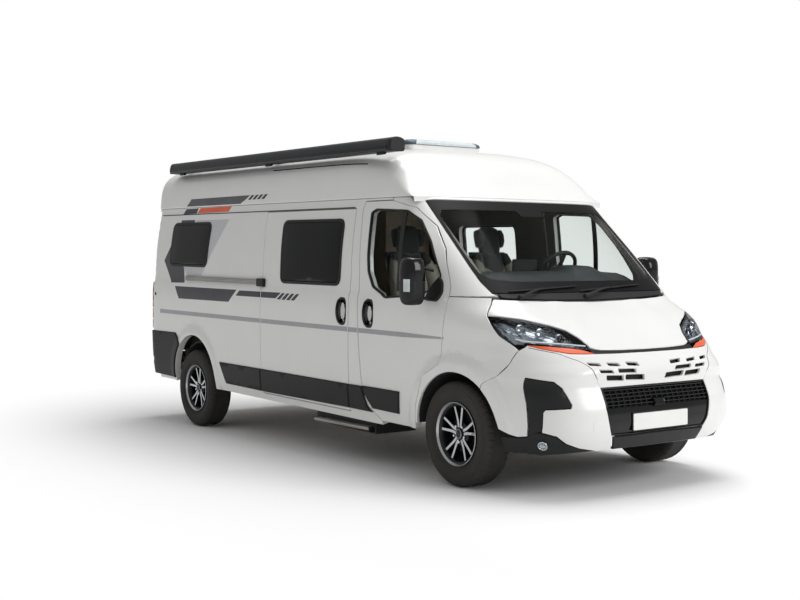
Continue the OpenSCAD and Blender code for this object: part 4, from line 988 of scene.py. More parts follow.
# Grille: dark backing, upright ribs and cross bars
backing = [(0, 404), at_y(490, 404), at_y(500, 609), at_y(535, 758), (0, 758)]
sheet("grille_backing", NOSE, mirrored(backing), [rubber], "body", "black_plastic", 4, step=50,
      rim=1, lift=-46, replaces=("grille",))
upper = [(0, 766), at_y(560, 766), at_y(560, 915), (0, 915)]
sheet("slot_backing", NOSE, mirrored(upper), [rubber], "body", "black_plastic", 4, step=50, rim=1,
      lift=-34)
edge_at = straight([(430, 438), (609, 488), (735, 490)])
for k, z in enumerate((622, 645, 668, 691, 714)):
    ys = np.linspace(-edge_at(z) - 6, edge_at(z) + 6, 25)
    sweep(f"grille_bar_{k}", [(skin_x(y, z) - 17, y, z) for y in ys], [(-4, -5), (8, -3), (8, 3), (-4, 5)],
          [gloss_black], "body", "black_plastic")
ribs, rib_faces = [], []
for y in np.arange(-468, 469, 52):
    n0 = len(ribs)
    for z in np.linspace(606, 734, 9):
        x = skin_x(y, z) - 20
        ribs += [(x, y - 3.5, z), (x, y + 3.5, z), (x - 22, y + 3.5, z), (x - 22, y - 3.5, z)]
    for i in range(8):
        for j in range(4):
            a, b = n0 + 4 * i + j, n0 + 4 * i + (j + 1) % 4
            rib_faces.append((a, b, b + 4, a + 4))
piece("grille_ribs", ribs, rib_faces, [plastic], "body", "black_plastic")
panel_half = [(0, 432), at_y(434, 432), at_y(486, 608), (0, 608)]
sheet("grille_panel", NOSE, mirrored(panel_half), [gloss_black], "body", "black_plastic", 12,
      step=40, rim=3, lift=-9)
sheet("range_sensor", NOSE, rounded([at_y(a, b) for a, b in box(-52, 596, 50, 646)], 10), [gloss_black], "body",
      "black_plastic", 20, step=24, rim=6, lift=2)
ring_half = [(0, 737), at_y(496, 737), at_y(495, 610), at_y(440, 422), (0, 422)]
hole_half = [(0, 727), at_y(485, 727), at_y(484, 611), at_y(430, 434), (0, 434)]
sheet("grille_frame", NOSE, mirrored(ring_half), [gloss_black], "body", "black_plastic", 22,
      holes=[mirrored(hole_half)], step=30, rim=4, lift=-1)
# Blank plate on its holder
for name, mat, grow, x0, x1 in (("plate_holder", plastic, 8, 2990, 2997), ("blank_plate", plate_white, 0, 2996, 2999)):
    ring = rounded(box(-260 - grow, 430 - grow, 260 + grow, 540 + grow), 9)
    loft(name, [[(a, y, z) for y, z in ring] for a in (x0, x1 - 1)]
         + [[(x1, y * .995, 485 + (z - 485) * .98) for y, z in ring]], [mat], "body", "black_plastic", place=plain)
tow = rounded([at_y(-557 + a, 498 + b) for a, b in box(-44, -36, 44, 36)], 10)
sheet("towing_cover", NOSE, tow, [paint], "body", "white_paint", 3, step=24, rim=1.5, lift=1.6)

# Headlights
lamp = rounded([at_y(484, 979), at_y(585, 990), at_y(727, 1003), at_y(850, 1013), at_y(864, 1000)]
               + [at_x(wing_front(z) + 9, z) for z in (1000, 1050, 1121, 1170)]
               + [at_y(y, hood_low(y) - 9) for y in (915, 860, 799, 720, 641, 556, 512, 494)], 5, 2)
for side, word in SIDES:
    sheet(f"{word}_lamp_cover", NOSE, lamp, [lens], "body", "lamp_lens", 3, side=side, step=26, rim=1.5,
          replaces=("headlights",) if side > 0 else ())
    sheet(f"{word}_lamp_bezel", NOSE, lamp, [gloss_black], "body", "lamp_lens", 46, side=side, step=26, rim=1,
          lift=-3.5, holes=[grown(lamp, -9)])
    sheet(f"{word}_lamp_bowl", NOSE, grown(lamp, -5), [smoked], "body", "lamp_lens", 3, side=side, step=20, rim=1,
          lift=-46, swell=lambda w, z: 9 * math.sin(w / 26) * math.sin(z / 15))
    strip = [(Vector(nose(*at_y(y, lamp_low(y) + 15))) + Vector((-9, 0, 0))) for y in np.linspace(500, 885, 22)]
    sweep(f"{word}_day_strip", [(p[0], side * p[1], p[2]) for p in strip],
          ellipse(7, 7, 10), [milky_and_highlight], "body", "lamp_lens")
    for i, (y, z, r) in enumerate(((630, 1046, 30), (736, 1078, 34), (838, 1104, 32))):
        p = Vector(nose(*at_y(y, z)))
        n = Vector((.80, side * .22, .34)).normalized()
        c = (p[0] - 22, side * p[1], p[2] - 4)
        lathe(f"{word}_lamp_barrel_{i}", [(r, -20), (r + 3, 2), (r - 1, 4), (r - 4, -2), (r - 5, -12), (r * .6, -18),
                                          (0, -19)], c, n, [chrome],
              "body", "lamp_lens", n=32, caps=False)
        lathe(f"{word}_lamp_eye_{i}", [(r - 6, -12), (r - 9, -5), (r * .45, 0), (0, 1.5)], c, n,
              [lens if i else dark_glass], "body", "lamp_lens", n=28, caps=False)
    sliver = [at_y(y, z) for y, z in ((477, 954), (555, 954), (650, 958), (720, 971), (790, 986), (849, 1007),
                                      (745, 999), (632, 988), (555, 978))]
    sheet(f"{word}_orange_sliver", NOSE, sliver, [orange], "body", "white_paint", 9, side=side, step=20, rim=1, lift=.8)
gap_half = [(0, 936), at_y(250, 938), at_y(480, 944), at_y(484, 984), at_y(250, 974), (0, 972)]
sheet("under_hood_strip", NOSE, mirrored(gap_half), [plastic], "body", "black_plastic", 3,
      step=40, rim=1, lift=-8)

# Wipers
def wiper(name, pivot, joint, tip):
    """An arm from its pivot to the middle of a blade that lies on the glass."""
    def on_glass(y, z, d):
        """A point at a distance outside the windscreen."""
        return Vector((skin_x(y, z), y, z)) + Vector((.72, 0, .69)) * d
    (py, pz), (jy, jz), (ty, tz) = pivot, joint, tip
    arm = [on_glass(py + (jy - py) * t, pz + (jz - pz) * t, 14 + 12 * math.sin(t * math.pi))
           for t in np.linspace(0, 1, 9)]
    sweep(name + "_arm", arm, [(-9, 0), (-5, 6), (5, 6), (9, 0), (5, -3), (-5, -3)], [plastic], "body", "black_plastic",
          up=(.7, 0, .7), scale=np.linspace(1.3, .7, 9))
    fy, fz = jy - (ty - jy) * .85, jz - (tz - jz) * .85
    blade = [on_glass(fy + (ty - fy) * t, fz + (tz - fz) * t, 7) for t in np.linspace(0, 1, 15)]
    sweep(name + "_blade", blade, [(-6, -5), (-2, 5), (2, 8), (6, 5), (6, -2), (2, -5)], [rubber], "body",
          "black_plastic", up=(.7, 0, .7), scale=[.5] + [1] * 13 + [.5])
    lathe(name + "_cap", [(0, 16), (14, 14), (20, 4), (21, -10), (0, -10)], on_glass(py, pz, 8), (.7, 0, .7), [plastic],
          "body", "black_plastic", n=24)


wiper("left_wiper", (-60, 1300), (210, 1352), (560, 1372))
wiper("right_wiper", (-650, 1300), (-430, 1352), (-90, 1368))


# ---- Wheels ----
def tread_cut(r, y, i):
    """How deep the tread is cut at one point of the tyre: grooves round it, and slots across its blocks."""
    g = abs(y)
    if r <= 345:
        return 0
    if g > 90 and i % 6 == 0:
        return 3
    if g in (13, 16, 43, 46):
        return 7
    slot = i % 6 == 0 if g > 50 else (i + (2 if y > 0 else 0)) % 6 == 3
    return (6 if g < 80 else 4) if slot and r > 350 else 0


def wheel(name, cx, side, body):
    """A 16-inch alloy wheel with five twin spokes, and its tyre with blocks of tread."""
    c = (cx, side * HALF_TRACK, TYRE_R)

    def round_part(part, profile, mats, n, at=c, slot="black_alloy", **k):
        lathe(f"{name}_{part}", profile, at, (0, side, 0), mats, body, slot, n=n, place=plain, **k)

    round_part("barrel", [(190, -98), (203, -92), (196, -80), (182, -62), (176, 20), (186, 58), (190, 76), (197, 82),
                          (206, 86), (212, 96), (216, 100), (220, 97), (218, 90), (211, 78), (208, 62), (205, 20),
                          (203, -70), (215, -96), (200, -104)],
               [black_alloy, machined], 80, closed=True, replaces=(f"{name}_rim",))
    round_part("turned_lip", [(205, 87), (210, 94), (215, 100.5), (219, 99), (220, 96), (216, 97.5), (211, 91),
                              (207, 85)],
               [machined], 80, closed=True)
    verts, faces, cut = [], [], {}

    def spoke(a, s0, s1, w0, w1):
        """One spoke at an angle: its offset and width at the hub and at the rim. Its front face is machined."""
        n0 = len(verts)
        ca, sa = math.cos(a), math.sin(a)
        hub, rim, steps = 44, 200, [0, .12, .3, .5, .7, .86, 1]
        for t in steps:
            r = hub + (rim - hub) * t
            off = s0 + (s1 - s0) * max(0, (t - .2) / .8)
            w = w0 + (w1 - w0) * t
            front = 62 + 12 * t ** 2
            for dw, dy in ((-w * .5, -34), (-w * .5, -5), (-w * .36, 0), (w * .36, 0), (w * .5, -5), (w * .5, -34)):
                q = off + dw
                verts.append((c[0] + ca * r - sa * q, c[1] + side * (front + dy), c[2] + sa * r + ca * q))
        for i in range(len(steps) - 1):
            for j in range(6):
                a0, b0 = n0 + 6 * i + j, n0 + 6 * i + (j + 1) % 6
                if j == 2:
                    cut[len(faces)] = 1
                faces.append((a0, b0, b0 + 6, a0 + 6))
        faces.append(tuple(n0 + j for j in range(5, -1, -1)))
        faces.append(tuple(n0 + 6 * (len(steps) - 1) + j for j in range(6)))

    for k in range(5):
        for d in (-1, 1):
            spoke(math.radians(90 + 72 * k), d * 13, d * 46, 26, 24)
    piece(f"{name}_spokes", verts, faces, [black_alloy, machined], body, "black_alloy", cut, place=plain,
          flip=(side > 0))
    round_part("hub", [(0, 74), (24, 73), (31, 70), (32, 62), (40, 58), (70, 57), (84, 50), (88, 40), (84, 10),
                       (60, 6)],
               [black_alloy], 60)
    round_part("cap_ring", [(31, 69), (33, 74), (30, 76), (27, 73)], [machined], 40, closed=True)
    for k in range(5):
        a = math.radians(126 + 72 * k)
        round_part(f"bolt_{k}", [(0, 16), (8, 15), (10, 12), (10, 0), (13, -2), (0, -4)], [chrome], 6,
                   at=(c[0] + 59 * math.cos(a), c[1] + side * 56, c[2] + 59 * math.sin(a)))
    round_part("valve", [(0, 22), (3, 21), (3, 0), (5, -6), (0, -8)], [rubber], 12,
               at=(c[0] + 168, c[1] + side * 70, c[2] + 18))
    round_part("brake_disc", [(60, -18), (148, -18), (150, -16), (150, 2), (148, 4), (60, 4)], [iron], 60,
               slot="hub_iron", closed=True)
    profile = [(206, -78), (218, -86), (240, -98), (262, -106), (280, -109), (300, -110.5), (322, -108), (336, -104),
               (346, -98), (356, -88), (362, -76), (363.5, -62), (364, -46), (364, -43), (364, -16), (364, -13),
               (364, 13), (364, 16), (364, 43), (364, 46), (363.5, 62), (362, 76), (356, 88), (346, 98), (336, 104),
               (322, 108), (300, 110.5), (280, 109), (262, 106), (240, 98), (218, 86), (206, 78), (204, 60), (204, -60)]
    n, m = 288, len(profile)
    verts, faces = [], []
    for i, a in enumerate(turn(n)):
        for j, (r, y) in enumerate(profile):
            r -= tread_cut(r, y, i)
            verts.append((c[0] + r * math.cos(a), c[1] + side * y, c[2] + r * math.sin(a)))
            after, beside = (i + 1) % n * m, (j + 1) % m
            faces.append((i * m + j, i * m + beside, after + beside, after + j))
    piece(f"{name}_tread", verts, faces, [tyre_rubber], body, "tyre_rubber", place=plain, sharp=28, flip=(side < 0),
          replaces=(f"{name}_tyre",))
    for k, (r, low, high) in enumerate(((316, 108, 110.5), (250, 101.5, 103.5))):
        round_part(f"sidewall_bead_{k}", [(r - 2, low), (r, high), (r + 2, low)], [tyre_rubber], 96, slot="tyre_rubber",
                   closed=True)


for end, cx in (("front", AXLE_F), ("rear", AXLE_B)):
    for side, word in SIDES:
        wheel(f"{end}_{word}", cx, side, f"{end}_{word}_wheel")
# Dark liners above the front wheels
for side, word in SIDES:
    rings = []
    for t in np.linspace(math.radians(176), math.radians(14), 22):
        x, z = AXLE_F + 1 + 424 * math.cos(t), TYRE_R + 424 * math.sin(t)
        edge = skin_y(min(x, 2500), z) + flare(x, z) - 24
        rings.append([(x, side * y, z) for y in (600, 760, edge)] + [
            (AXLE_F + 1 + 430 * math.cos(t), side * y, TYRE_R + 430 * math.sin(t)) for y in (edge, 600)])
    loft(f"{word}_front_liner", rings, [sealant], "body", "black_plastic", flip=(side > 0))

# ---- Cab ----
def cushion(name, rings, mat):
    """A padded form: a remeshed shell swelled as cloth under pressure, no point by more than 16 mm.
"""
    thing = loft(name, rings, [mat], "body", "seat_fabric", weigh=False)
    bpy.ops.object.select_all(action="DESELECT")
    bpy.context.view_layer.objects.active = thing
    thing.select_set(True)
    mod = thing.modifiers.new("remesh", "REMESH")
    mod.mode, mod.voxel_size = "VOXEL", .010
    bpy.ops.object.modifier_apply(modifier="remesh")
    before = np.array([v.co for v in thing.data.vertices])
    cloth = thing.modifiers.new("cloth", "CLOTH")
    cloth.settings.use_pressure = True
    cloth.settings.uniform_pressure_force = 4.0
    cloth.settings.effector_weights.gravity = 0
    cloth.settings.quality = 4
    cloth.point_cache.frame_start, cloth.point_cache.frame_end = 1, 14
    for f in range(1, 15):
        bpy.context.scene.frame_set(f)
    shape = thing.evaluated_get(bpy.context.evaluated_depsgraph_get()).to_mesh()
    after = np.array([v.co for v in shape.vertices])
    thing.modifiers.remove(cloth)
    step = after - before
    far = np.linalg.norm(step, axis=1, keepdims=True)
    step *= np.minimum(1, .016 / np.maximum(far, 1e-9))
    thing.data.vertices.foreach_set("co", (before + step).ravel())
    thing.data.update()
    bpy.context.scene.frame_set(1)
    sub = thing.modifiers.new("soft", "SUBSURF")
    sub.levels = sub.render_levels = 1
    thing.data.polygons.foreach_set("use_smooth", [True] * len(thing.data.polygons))
    return thing


def pad_rings(y, line):
    """Rings round a pad that follows a line of (x, z, half width, half depths)."""
    section = [(bent(math.sin(a), .6), bent(math.cos(a), .5)) for a in turn(20)]
    return [[(AXLE_F + x + deep * u, y + w * v, z + high * u) for u, v in section] for x, z, w, (deep, high) in line]


def two_tone(thing, middle, upper):
    """Gives a pad a second cloth above a V that dips in the middle of the seat."""
    thing.data.materials.append(upper)
    for p in thing.data.polygons:
        if p.center[2] > 1.46 + .8 * max(0, abs(p.center[1] - middle / 1000) - .05):
            p.material_index = 1
    return thing


# The pads' middle lines, behind the front axle
SQUAB = [(-800, 985, 120, (0, 28)), (-880, 1000, 140, (0, 45)), (-1000, 996, 140, (0, 50)), (-1130, 985, 140, (0, 50)),
         (-1210, 985, 130, (0, 40))]
SQUAB_SIDE = [(-800, 1000, 30, (0, 30)), (-870, 1022, 42, (0, 48)), (-1000, 1030, 45, (0, 56)),
              (-1130, 1022, 45, (0, 52)), (-1200, 1010, 36, (0, 40))]
BACK = [(-1235, 1080, 130, (40, 6)), (-1268, 1200, 145, (46, 8)), (-1305, 1350, 145, (44, 8)),
        (-1345, 1500, 130, (40, 8)), (-1375, 1600, 105, (36, 8))]
BACK_SIDE = [(-1215, 1090, 36, (44, 6)), (-1232, 1200, 46, (58, 8)), (-1268, 1350, 46, (56, 8)),
             (-1322, 1490, 42, (46, 8)), (-1365, 1590, 30, (34, 8))]
HEAD = [(-1372, 1560, 96, (30, 6)), (-1384, 1620, 106, (40, 8)), (-1392, 1680, 112, (44, 8)),
        (-1404, 1745, 118, (46, 8)), (-1416, 1790, 100, (38, 8)), (-1424, 1812, 60, (20, 6))]
HEAD_SIDE = [(-1378, 1640, 22, (30, 6)), (-1380, 1690, 28, (46, 8)), (-1392, 1745, 28, (46, 8)),
             (-1408, 1785, 22, (32, 8))]
for side, word in SIDES:
    y = side * SEAT_Y
    squab = cushion(f"{word}_squab", pad_rings(y, SQUAB), seat_cloth)
    if side > 0:
        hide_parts("cab_seats")
    for s, end in ((-1, "a"), (1, "b")):
        cushion(f"{word}_squab_bolster_{end}", pad_rings(y + s * 185, SQUAB_SIDE), bolster_cloth)
    two_tone(cushion(f"{word}_backrest", pad_rings(y, BACK), bolster_cloth), y, seat_cloth)
    for s, end in ((-1, "a"), (1, "b")):
        rings = [[(px, py + y + s * d, pz) for px, py, pz in ring]
                 for ring, d in zip(pad_rings(0, BACK_SIDE), (185, 192, 188, 165, 135))]
        two_tone(cushion(f"{word}_back_bolster_{end}", rings, bolster_cloth), y, seat_cloth)
    cushion(f"{word}_headrest", pad_rings(y, HEAD), seat_cloth)
    for s, end in ((-1, "a"), (1, "b")):
        cushion(f"{word}_head_side_{end}", pad_rings(y + s * 112, HEAD_SIDE), seat_cloth)
    # Shell and pedestal
    sweep(f"{word}_seat_shell",
          [(AXLE_F + x, y, z) for x, z in ((-1290, 1060), (-1318, 1200), (-1352, 1350), (-1390, 1500), (-1418, 1600))],
          [(-190, -10), (190, -10), (196, 0), (180, 16), (-180, 16), (-196, 0)], [plastic], "body", "seat_fabric",
          up=(-1, 0, 0))
    rings = []
    for z, w, dx in ((505, 190, 0), (540, 175, -8), (860, 170, 10), (900, 210, 30), (935, 215, 40)):
        fore, aft = AXLE_F - 860 + dx, AXLE_F - 1240
        rings.append([(fore, y - w, z), (fore, y + w, z), (aft, y + w, z), (aft, y - w, z)])
    loft(f"{word}_seat_base", rings, [plastic], "body", "seat_fabric")

# Steering wheel: moulded rim, three spokes and a blank hub
centre, tilt = Vector((AXLE_F - 571, SEAT_Y, 1455)), math.radians(53)
axis = Vector((-math.sin(tilt), 0, math.cos(tilt)))
u, v = Vector((0, 1, 0)), axis.cross(Vector((0, 1, 0)))
rings = []
for a in turn(64):
    d = u * math.cos(a) + v * math.sin(a)
    grip = 15.5 + (2 if abs(math.sin(2 * a)) < .4 else 0)
    rings.append([tuple(centre + d * (188 + grip * math.cos(b)) + axis * grip * .95 * math.sin(b)) for b in turn(14)])
loft("wheel_rim_grip", rings + [rings[0]], [dash_skin], "steering_wheel", "black_plastic", caps=False,
     replaces=("steering_wheel",))
hub = []
for h, r in ((-32, 60), (-28, 78), (-6, 84), (4, 76), (9, 50), (10, 12)):
    hub.append([tuple(centre + axis * h + u * r * bent(math.cos(a), .7) * 1.15 + v * r * bent(math.sin(a), .7) * .85)
                for a in turn(28)])
loft("wheel_hub_pad", hub, [dash_skin], "steering_wheel", "black_plastic")
for k, a in enumerate((0, math.pi, -math.pi / 2)):
    d = u * math.cos(a) + v * math.sin(a)
    sweep(f"wheel_spoke_{k}", [tuple(centre + d * r + axis * h)
                               for r, h in ((60, -8), (110, -12), (150, -8), (182, -2))],
          [(-22, -6), (22, -6), (24, 0), (16, 5), (-16, 5), (-24, 0)], [silver if k == 2 else dash_skin],
          "steering_wheel", "black_plastic", up=axis, scale=(1, .85, .8, .9))
sweep("column_shroud", [tuple(centre + axis * -36), tuple(centre + axis * -90), tuple(centre + axis * -170)],
      ellipse(48, 40, 20), [plastic], "body", "black_plastic",
      up=(0, 0, 1), scale=(.8, 1, 1.25))

# Dashboard, shaped across the cab, with a hooded binnacle, vents and a blank screen
dash_line = [(-88, 950), (-60, 1100), (-62, 1260), (-20, 1300), (60, 1318), (40, 1352), (-60, 1392), (-170, 1440),
             (-262, 1462), (-400, 1466),
             (-470, 1452), (-508, 1420), (-535, 1378), (-500, 1300), (-470, 1210), (-430, 1080), (-400, 960)]
rings = []
for y in np.linspace(-786, 786, 43):
    bulge = 46 * math.exp(-((y - SEAT_Y) / 150) ** 4)
    drop = 12 * (abs(y) / 786) ** 4
    ring = []
    for x, z in dash_line:
        high = bulge * (1 if -470 <= x <= -250 else .45) if z > 1430 else 0
        back = 30 * (abs(y) / 786) ** 6 - 22 * math.exp(-(y / 190) ** 4) if z < 1400 and x < -300 else 0
        ring.append((AXLE_F + (x + back), y, z - drop + high))
    rings.append(ring)
loft("dashboard_skin", rings, [dash_skin], "body", "black_plastic", replaces=("dashboard",))
for k, y in enumerate((-640, -110, 110, 640)):
    ring = rounded(box(y - 62, 1352, y + 62, 1402), 14)
    loft(f"air_vent_{k}", [[(AXLE_F + x + (b - 1377) * .55, a, b) for a, b in ring] for x in (-546, -552)],
         [gloss_black], "body", "black_plastic")
screen = rounded(box(-118, 1432, 118, 1556), 14)
loft("dash_screen", [[(AXLE_F + x, y * s, 1494 + (z - 1494) * s) for y, z in screen]
                     for x, s in ((-440, .97), (-446, 1), (-458, 1), (-461, .98))],
     [gloss_black], "body", "black_plastic")
# Inner trim of the screen posts and the headlining edge
for side, word in SIDES:
    path = [(skin_x(screen_half(z) - 16, z) - 46, side * (screen_half(z) - 10), z)
            for z in (1420, 1520, 1640, 1760, 1880, 1960)]
    sweep(f"{word}_post_trim", path, [(-34, -10), (34, -10), (30, 12), (0, 20), (-30, 12)], [pale_trim], "body",
          "cab_lining", up=(.75, 0, .66))
sweep("header_trim", [(skin_x(y, 1968) - 62, y, 1962) for y in np.linspace(-800, 800, 13)],
      [(-50, -12), (50, -12), (44, 12), (-44, 12)], [pale_trim], "body", "cab_lining", up=(.6, 0, .8))
# Bed
for k, (x0, x1) in enumerate(((TAIL + 160, -2290), (-2284, -1636))):
    rings = []
    for x, s, t in ((x0, .985, 30), (x0 + 12, 1, 62), ((x0 + x1) / 2, 1, 70), (x1 - 12, 1, 62), (x1, .985, 30)):
        rings.append([(x, 860 * s * bent(math.cos(a), .25), 1095 + t * bent(math.sin(a), .35)) for a in turn(36)])
    mattress = loft(f"mattress_{k}", rings, [ticking], "body", "seat_fabric", smooth=1)

# ---- Rear doors, roof end and rear bumper ----
rear_door = [(7, 567), (883, 567), (883, 1250), (843, 1900), (836, 1990), (821, 2209), (805, 2240), (772, 2259),
             (7, 2259)]
rear_pane = rounded([(110, 1390), (754, 1390), (734, 1830), (110, 1830)], 50)
pressing = [[(y, z) for y in np.arange(60, 870, 30)] for z in WAIST]
panel_press = rounded(box(95, 700, 800, 1210), 60)


def pressed(outline, deep, soft):
    """A shallow pressing inside an outline."""
    ring = np.array(rounded(outline, 20))
    lo, hi = ring.min(0), ring.max(0)

    def fall(u, v):
        """How far the panel sinks at a point."""
        edge = min(u - lo[0], hi[0] - u, v - lo[1], hi[1] - v)
        return -deep * min(1, max(0, edge / soft)) ** 1.5
    return fall


for side, word in SIDES:
    body = f"{word}_rear_door"
    sheet(f"{word}_rear_door_skin", REAR, rear_door, [paint, lining], body, "white_paint", 52, side=side, step=40,
          rim=5,
          holes=[rear_pane], lines=pressing + [trace(panel_press, 40)], swell=pressed(panel_press, 5, 26),
          replaces=(body,))
    sheet(f"{word}_rear_door_seal", REAR, grown(rear_pane, 2), [rubber], body, "black_plastic", 16, side=side, step=40,
          rim=3, holes=[grown(rear_pane, -14)], lift=1)
    sheet(f"{word}_rear_door_pane", REAR, grown(rear_pane, -12), [dark_glass], body, "dark_glass", 6, side=side,
          step=60, rim=1, lift=-4, replaces=(f"{word}_rear_glass",))
    for i, z in enumerate((760, 1180, 2010)):
        y = door_side(z)
        leaf = rounded([(y - 118, z - 24), (y - 3, z - 30), (y - 3, z + 30), (y - 118, z + 24)], 14)
        sheet(f"{word}_rear_hinge_leaf_{i}", REAR, leaf, [paint], body, "white_paint", 7, side=side, step=24, rim=3,
              lift=7)
        lathe(f"{word}_rear_hinge_barrel_{i}", [(0, -44), (7, -44), (9, -42), (9, 42), (7, 44), (0, 44)],
              (tail_x(z) - 4, side * (y + 8), z), (0, 0, 1), [steel], "body", "white_paint", n=24)
# Handle on the left door, blank plate in its recess on the right half
bezel = box(20, 1120, 150, 1252)
sheet("rear_handle_bezel", REAR, rounded(bezel, 24), [plastic], "left_rear_door", "black_plastic", 10, step=24, rim=4,
      lift=6, swell=pressed(bezel, 9, 30))
sweep("rear_handle_grip", [(tail_x(1190) - 12 - 8 * math.sin(t * math.pi), 85, 1130 + 112 * t)
                           for t in np.linspace(0, 1, 9)],
      ellipse(13, 6, 12), [gloss_black], "left_rear_door", "black_plastic", up=(0, 1, 0))
sheet("rear_plate_holder", REAR, rounded(box(95, 842, 633, 972), 12), [plastic], "left_rear_door", "black_plastic",
      8, step=40, rim=3, lift=4)
sheet("rear_blank_plate", REAR, rounded(box(104, 851, 624, 963), 9), [plate_white], "left_rear_door",
      "white_paint", 3, step=50, rim=1, lift=6.5)
for i, y in enumerate((230, 498)):
    sheet(f"rear_plate_lamp_{i}", REAR, rounded(box(y - 40, 984, y + 40, 1010), 8), [plastic],
          "left_rear_door", "black_plastic", 8, step=20, rim=3, lift=9)
# Painted end of the roof round the doorway
section = [(ROOF_HALF * bent(math.cos(a), .5) * .998, SEAM + (ROOF - SEAM - 2) * math.sin(a) ** .5)
           for a in (math.radians(a) for a in np.linspace(0, 180, 41))]
doorway = [(door_side(z) + 6, z) for z in (1985, 1990, 2100, 2209)] + [(812, 2246), (780, 2267), (0, 2267)]
section = [(937, 1985)] + section + [(-937, 1985)]
sheet("roof_end", REAR, section + [(-y, z) for y, z in doorway] + [(y, z) for y, z in reversed(doorway[:-1])],
      [paint, lining], "body", "white_paint", 30, step=40, rim=4, lift=1)
sheet("high_stop_lamp", REAR, rounded(box(-150, 2284, 150, 2312), 9), [red_lens], "body", "red_lens", 12,
      step=30, rim=4, lift=9)
# Tail lamps wrap the rear corner
for side, word in SIDES:
    for i, (z0, z1, mat) in enumerate(((806, 900, milky_and_highlight), (904, 1010, amber), (1014, 1272, red_lens))):
        zs = np.linspace(z0, z1, 7)
        tail = [(tail_x(z) + 30, z) for z in zs] + [(corner(z, 896), z) for z in zs[::-1]]
        sheet(f"{word}_tail_lamp_{i}", FLANK, rounded(tail, 8, 2), [mat], "body", "red_lens" if i else "lamp_lens", 9,
              side=side, step=20, rim=3, lift=8, replaces=("tail_lamps",) if side > 0 and i == 2 else ())
# Moulded rear bumper round both corners
CENTRE = TAIL + CORNER - CORNER * math.pi / 2 - 955
arch_side = [(AXLE_B + 1 - math.sqrt(max(0, (ARCH + 4) ** 2 - (z - TYRE_R) ** 2)), z)
             for z in (346, 400, 460, 520, 580, 640)]
bumper_side = [(CENTRE, 350), (TAIL + 156, 350)] + arch_side + [
    (AXLE_B - 306, 668), (AXLE_B - 297, 690), (AXLE_B - 402, 792), (TAIL + 50, 784), (TAIL + 2, 772), (TAIL - 26, 600),
    (TAIL - 40, 553), (CENTRE, 553)]
for side, word in SIDES:
    sheet(f"{word}_rear_bumper_skin", FLANK, bumper_side, [plastic], "body", "black_plastic", 22, side=side, step=42,
          rim=7, lift=15, replaces=("rear_bumper",) if side > 0 else (),
          swell=lambda u, v: -7 * math.exp(-((v - 505) / 14) ** 2) if u < TAIL + 120 else 0)
    sheet(f"{word}_rear_reflector", FLANK, rounded(box(TAIL - 290, 448, TAIL - 150, 478), 6), [red_lens],
          "body", "red_lens", 6, side=side, step=20, rim=2, lift=18)

# ---- Side step ----
lo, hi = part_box("side_step")
x0, x1, y0, y1, z1 = lo[0] * 1000, hi[0] * 1000, lo[1] * 1000, hi[1] * 1000, hi[2] * 1000
tread = [(y0 + 340, -28), (y0 + 4, -28), (y0, -20), (y0, -6), (y0 + 6, 0)]
for k in range(14):
    y = y0 + 14 + 22 * k
    tread += [(y, 0), (y + 3, -4), (y + 11, -4), (y + 14, 0)]
tread += [(y0 + 340, 0)]
loft("step_tread", [[(x, y, z1 + z - (x - x0) * .0003) for y, z in tread] for x in np.linspace(x0 + 3, x1 - 3, 9)],
     [silver], "side_step", "step_aluminium", place=plain, replaces=("side_step",), flip=True)
for k, (a, b) in enumerate(((x0, x0 + 6), (x1 - 6, x1))):
    end = rounded(box(y0 + 1, z1 - 29, y0 + 339, z1 + 1), 6)
    loft(f"step_end_{k}", [[(x, y, z) for y, z in end] for x in (a, a + 1, b - 1, b)], [plastic], "side_step",
         "black_plastic", place=plain)


# ---- Floor, light and camera ----
# Studio paper: matt white near the van, where it holds the shadow, and fading to the clean ground further out
paper = bpy.data.materials.new("studio_paper")
paper.use_nodes = True
tree = paper.node_tree
tree.nodes.clear()
out = add(tree, "ShaderNodeOutputMaterial")
matt = add(tree, "ShaderNodeBsdfDiffuse", Color=linear("#f4f4f4"))
ground_white = add(tree, "ShaderNodeEmission", Color=(1, 1, 1, 1), Strength=1.0)
ray = add(tree, "ShaderNodeLightPath")
seen = add(tree, "ShaderNodeMath", [(0, ray, "Is Camera Ray"), (1, ray, "Is Glossy Ray")], operation="MAXIMUM")
seen = add(tree, "ShaderNodeMath", [(0, seen, "Value"), (1, ray, "Is Transmission Ray")], operation="MAXIMUM")
place = add(tree, "ShaderNodeTexCoord")
oval_ground = add(tree, "ShaderNodeMapping", [("Vector", place, "Object")], Scale=(.235, .42, 1))
away = add(tree, "ShaderNodeVectorMath", [(0, oval_ground, "Vector")], operation="LENGTH")
fade = add(tree, "ShaderNodeMapRange", [("Value", away, "Value")], interpolation_type="SMOOTHSTEP", From_Min=.75,
           From_Max=1.5)
share = add(tree, "ShaderNodeMath", [(0, fade, "Result"), (1, seen, "Value")], operation="MULTIPLY")
both = add(tree, "ShaderNodeMixShader", [("Fac", share, "Value"), (1, matt, "BSDF"), (2, ground_white, "Emission")])
tree.links.new(both.outputs["Shader"], out.inputs["Surface"])
mesh = bpy.data.meshes.new("studio_floor")
mesh.from_pydata([(-60, -60, 0), (60, -60, 0), (60, 60, 0), (-60, 60, 0)], [], [(0, 1, 2, 3)])
mesh.materials.append(paper)
ground = bpy.data.objects.new("studio_floor", mesh)
bpy.context.scene.collection.objects.link(ground)

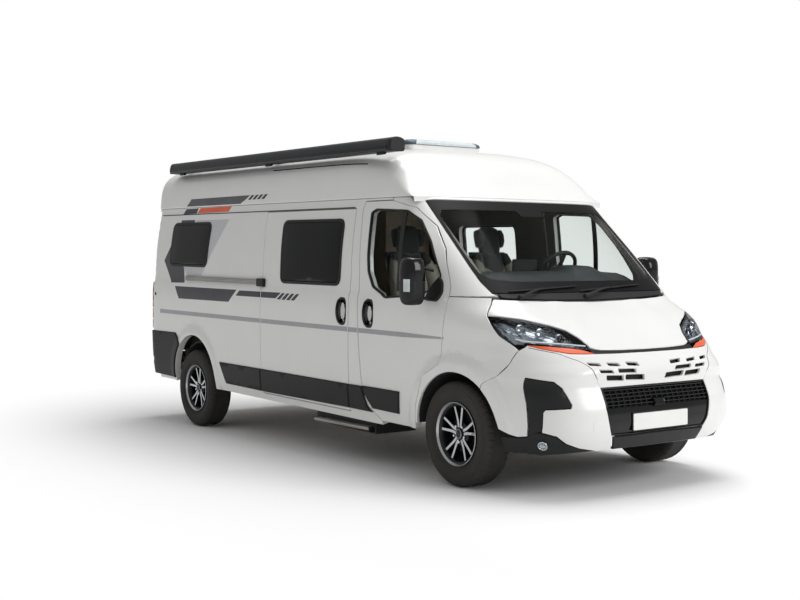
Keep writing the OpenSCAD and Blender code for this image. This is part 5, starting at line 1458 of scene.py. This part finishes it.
world = bpy.data.worlds.new("studio")
bpy.context.scene.world = world
world.use_nodes = True
tree = world.node_tree
tree.nodes.clear()
out = add(tree, "ShaderNodeOutputWorld")
soft = add(tree, "ShaderNodeBackground", Color=(1, 1, 1, 1), Strength=.46)
white = add(tree, "ShaderNodeBackground", Color=(1, 1, 1, 1), Strength=1.0)
ray = add(tree, "ShaderNodeLightPath")
seen = add(tree, "ShaderNodeMath", [(0, ray, "Is Camera Ray"), (1, ray, "Is Transmission Ray")], operation="MAXIMUM")
mix = add(tree, "ShaderNodeMixShader", [("Fac", seen, "Value"), (1, soft, "Background"), (2, white, "Background")])
tree.links.new(mix.outputs["Shader"], out.inputs["Surface"])


def lamp(name, place, aim, size, watts):
    """A soft box."""
    light = bpy.data.lights.new(name, "AREA")
    light.shape, light.size, light.size_y, light.energy = "RECTANGLE", size[0], size[1], watts
    thing = bpy.data.objects.new(name, light)
    bpy.context.scene.collection.objects.link(thing)
    thing.location = place
    thing.rotation_euler = (Vector(aim) - Vector(place)).to_track_quat("-Z", "Y").to_euler()


lamp("key_soft_box", (10, 3.0, 4.5), (1.5, 0, 1), (5, 4), 410)
lamp("top_soft_box", (0, 1.5, 9), (0, 0, 0), (10, 5), 620)

eye = Vector((8.56, -6.07, 1.51))
yaw, pitch, roll = math.radians(144.7), math.radians(-1.57), math.radians(-.28)
ahead = Vector((math.cos(pitch) * math.cos(yaw), math.cos(pitch) * math.sin(yaw), math.sin(pitch)))
right = ahead.cross(Vector((0, 0, 1))).normalized()
up = right.cross(ahead)
right, up = right * math.cos(roll) + up * math.sin(roll), up * math.cos(roll) - right * math.sin(roll)
lens_data = bpy.data.cameras.new("view")
lens_data.lens, lens_data.sensor_width = 54.4, 36
camera = bpy.data.objects.new("view", lens_data)
bpy.context.scene.collection.objects.link(camera)
camera.matrix_world = Matrix((
    (right[0], up[0], -ahead[0], eye[0]), (right[1], up[1], -ahead[1], eye[1]),
    (right[2], up[2], -ahead[2], eye[2]), (0, 0, 0, 1)))
bpy.context.scene.camera = camera
bpy.context.scene.view_settings.view_transform = "Standard"
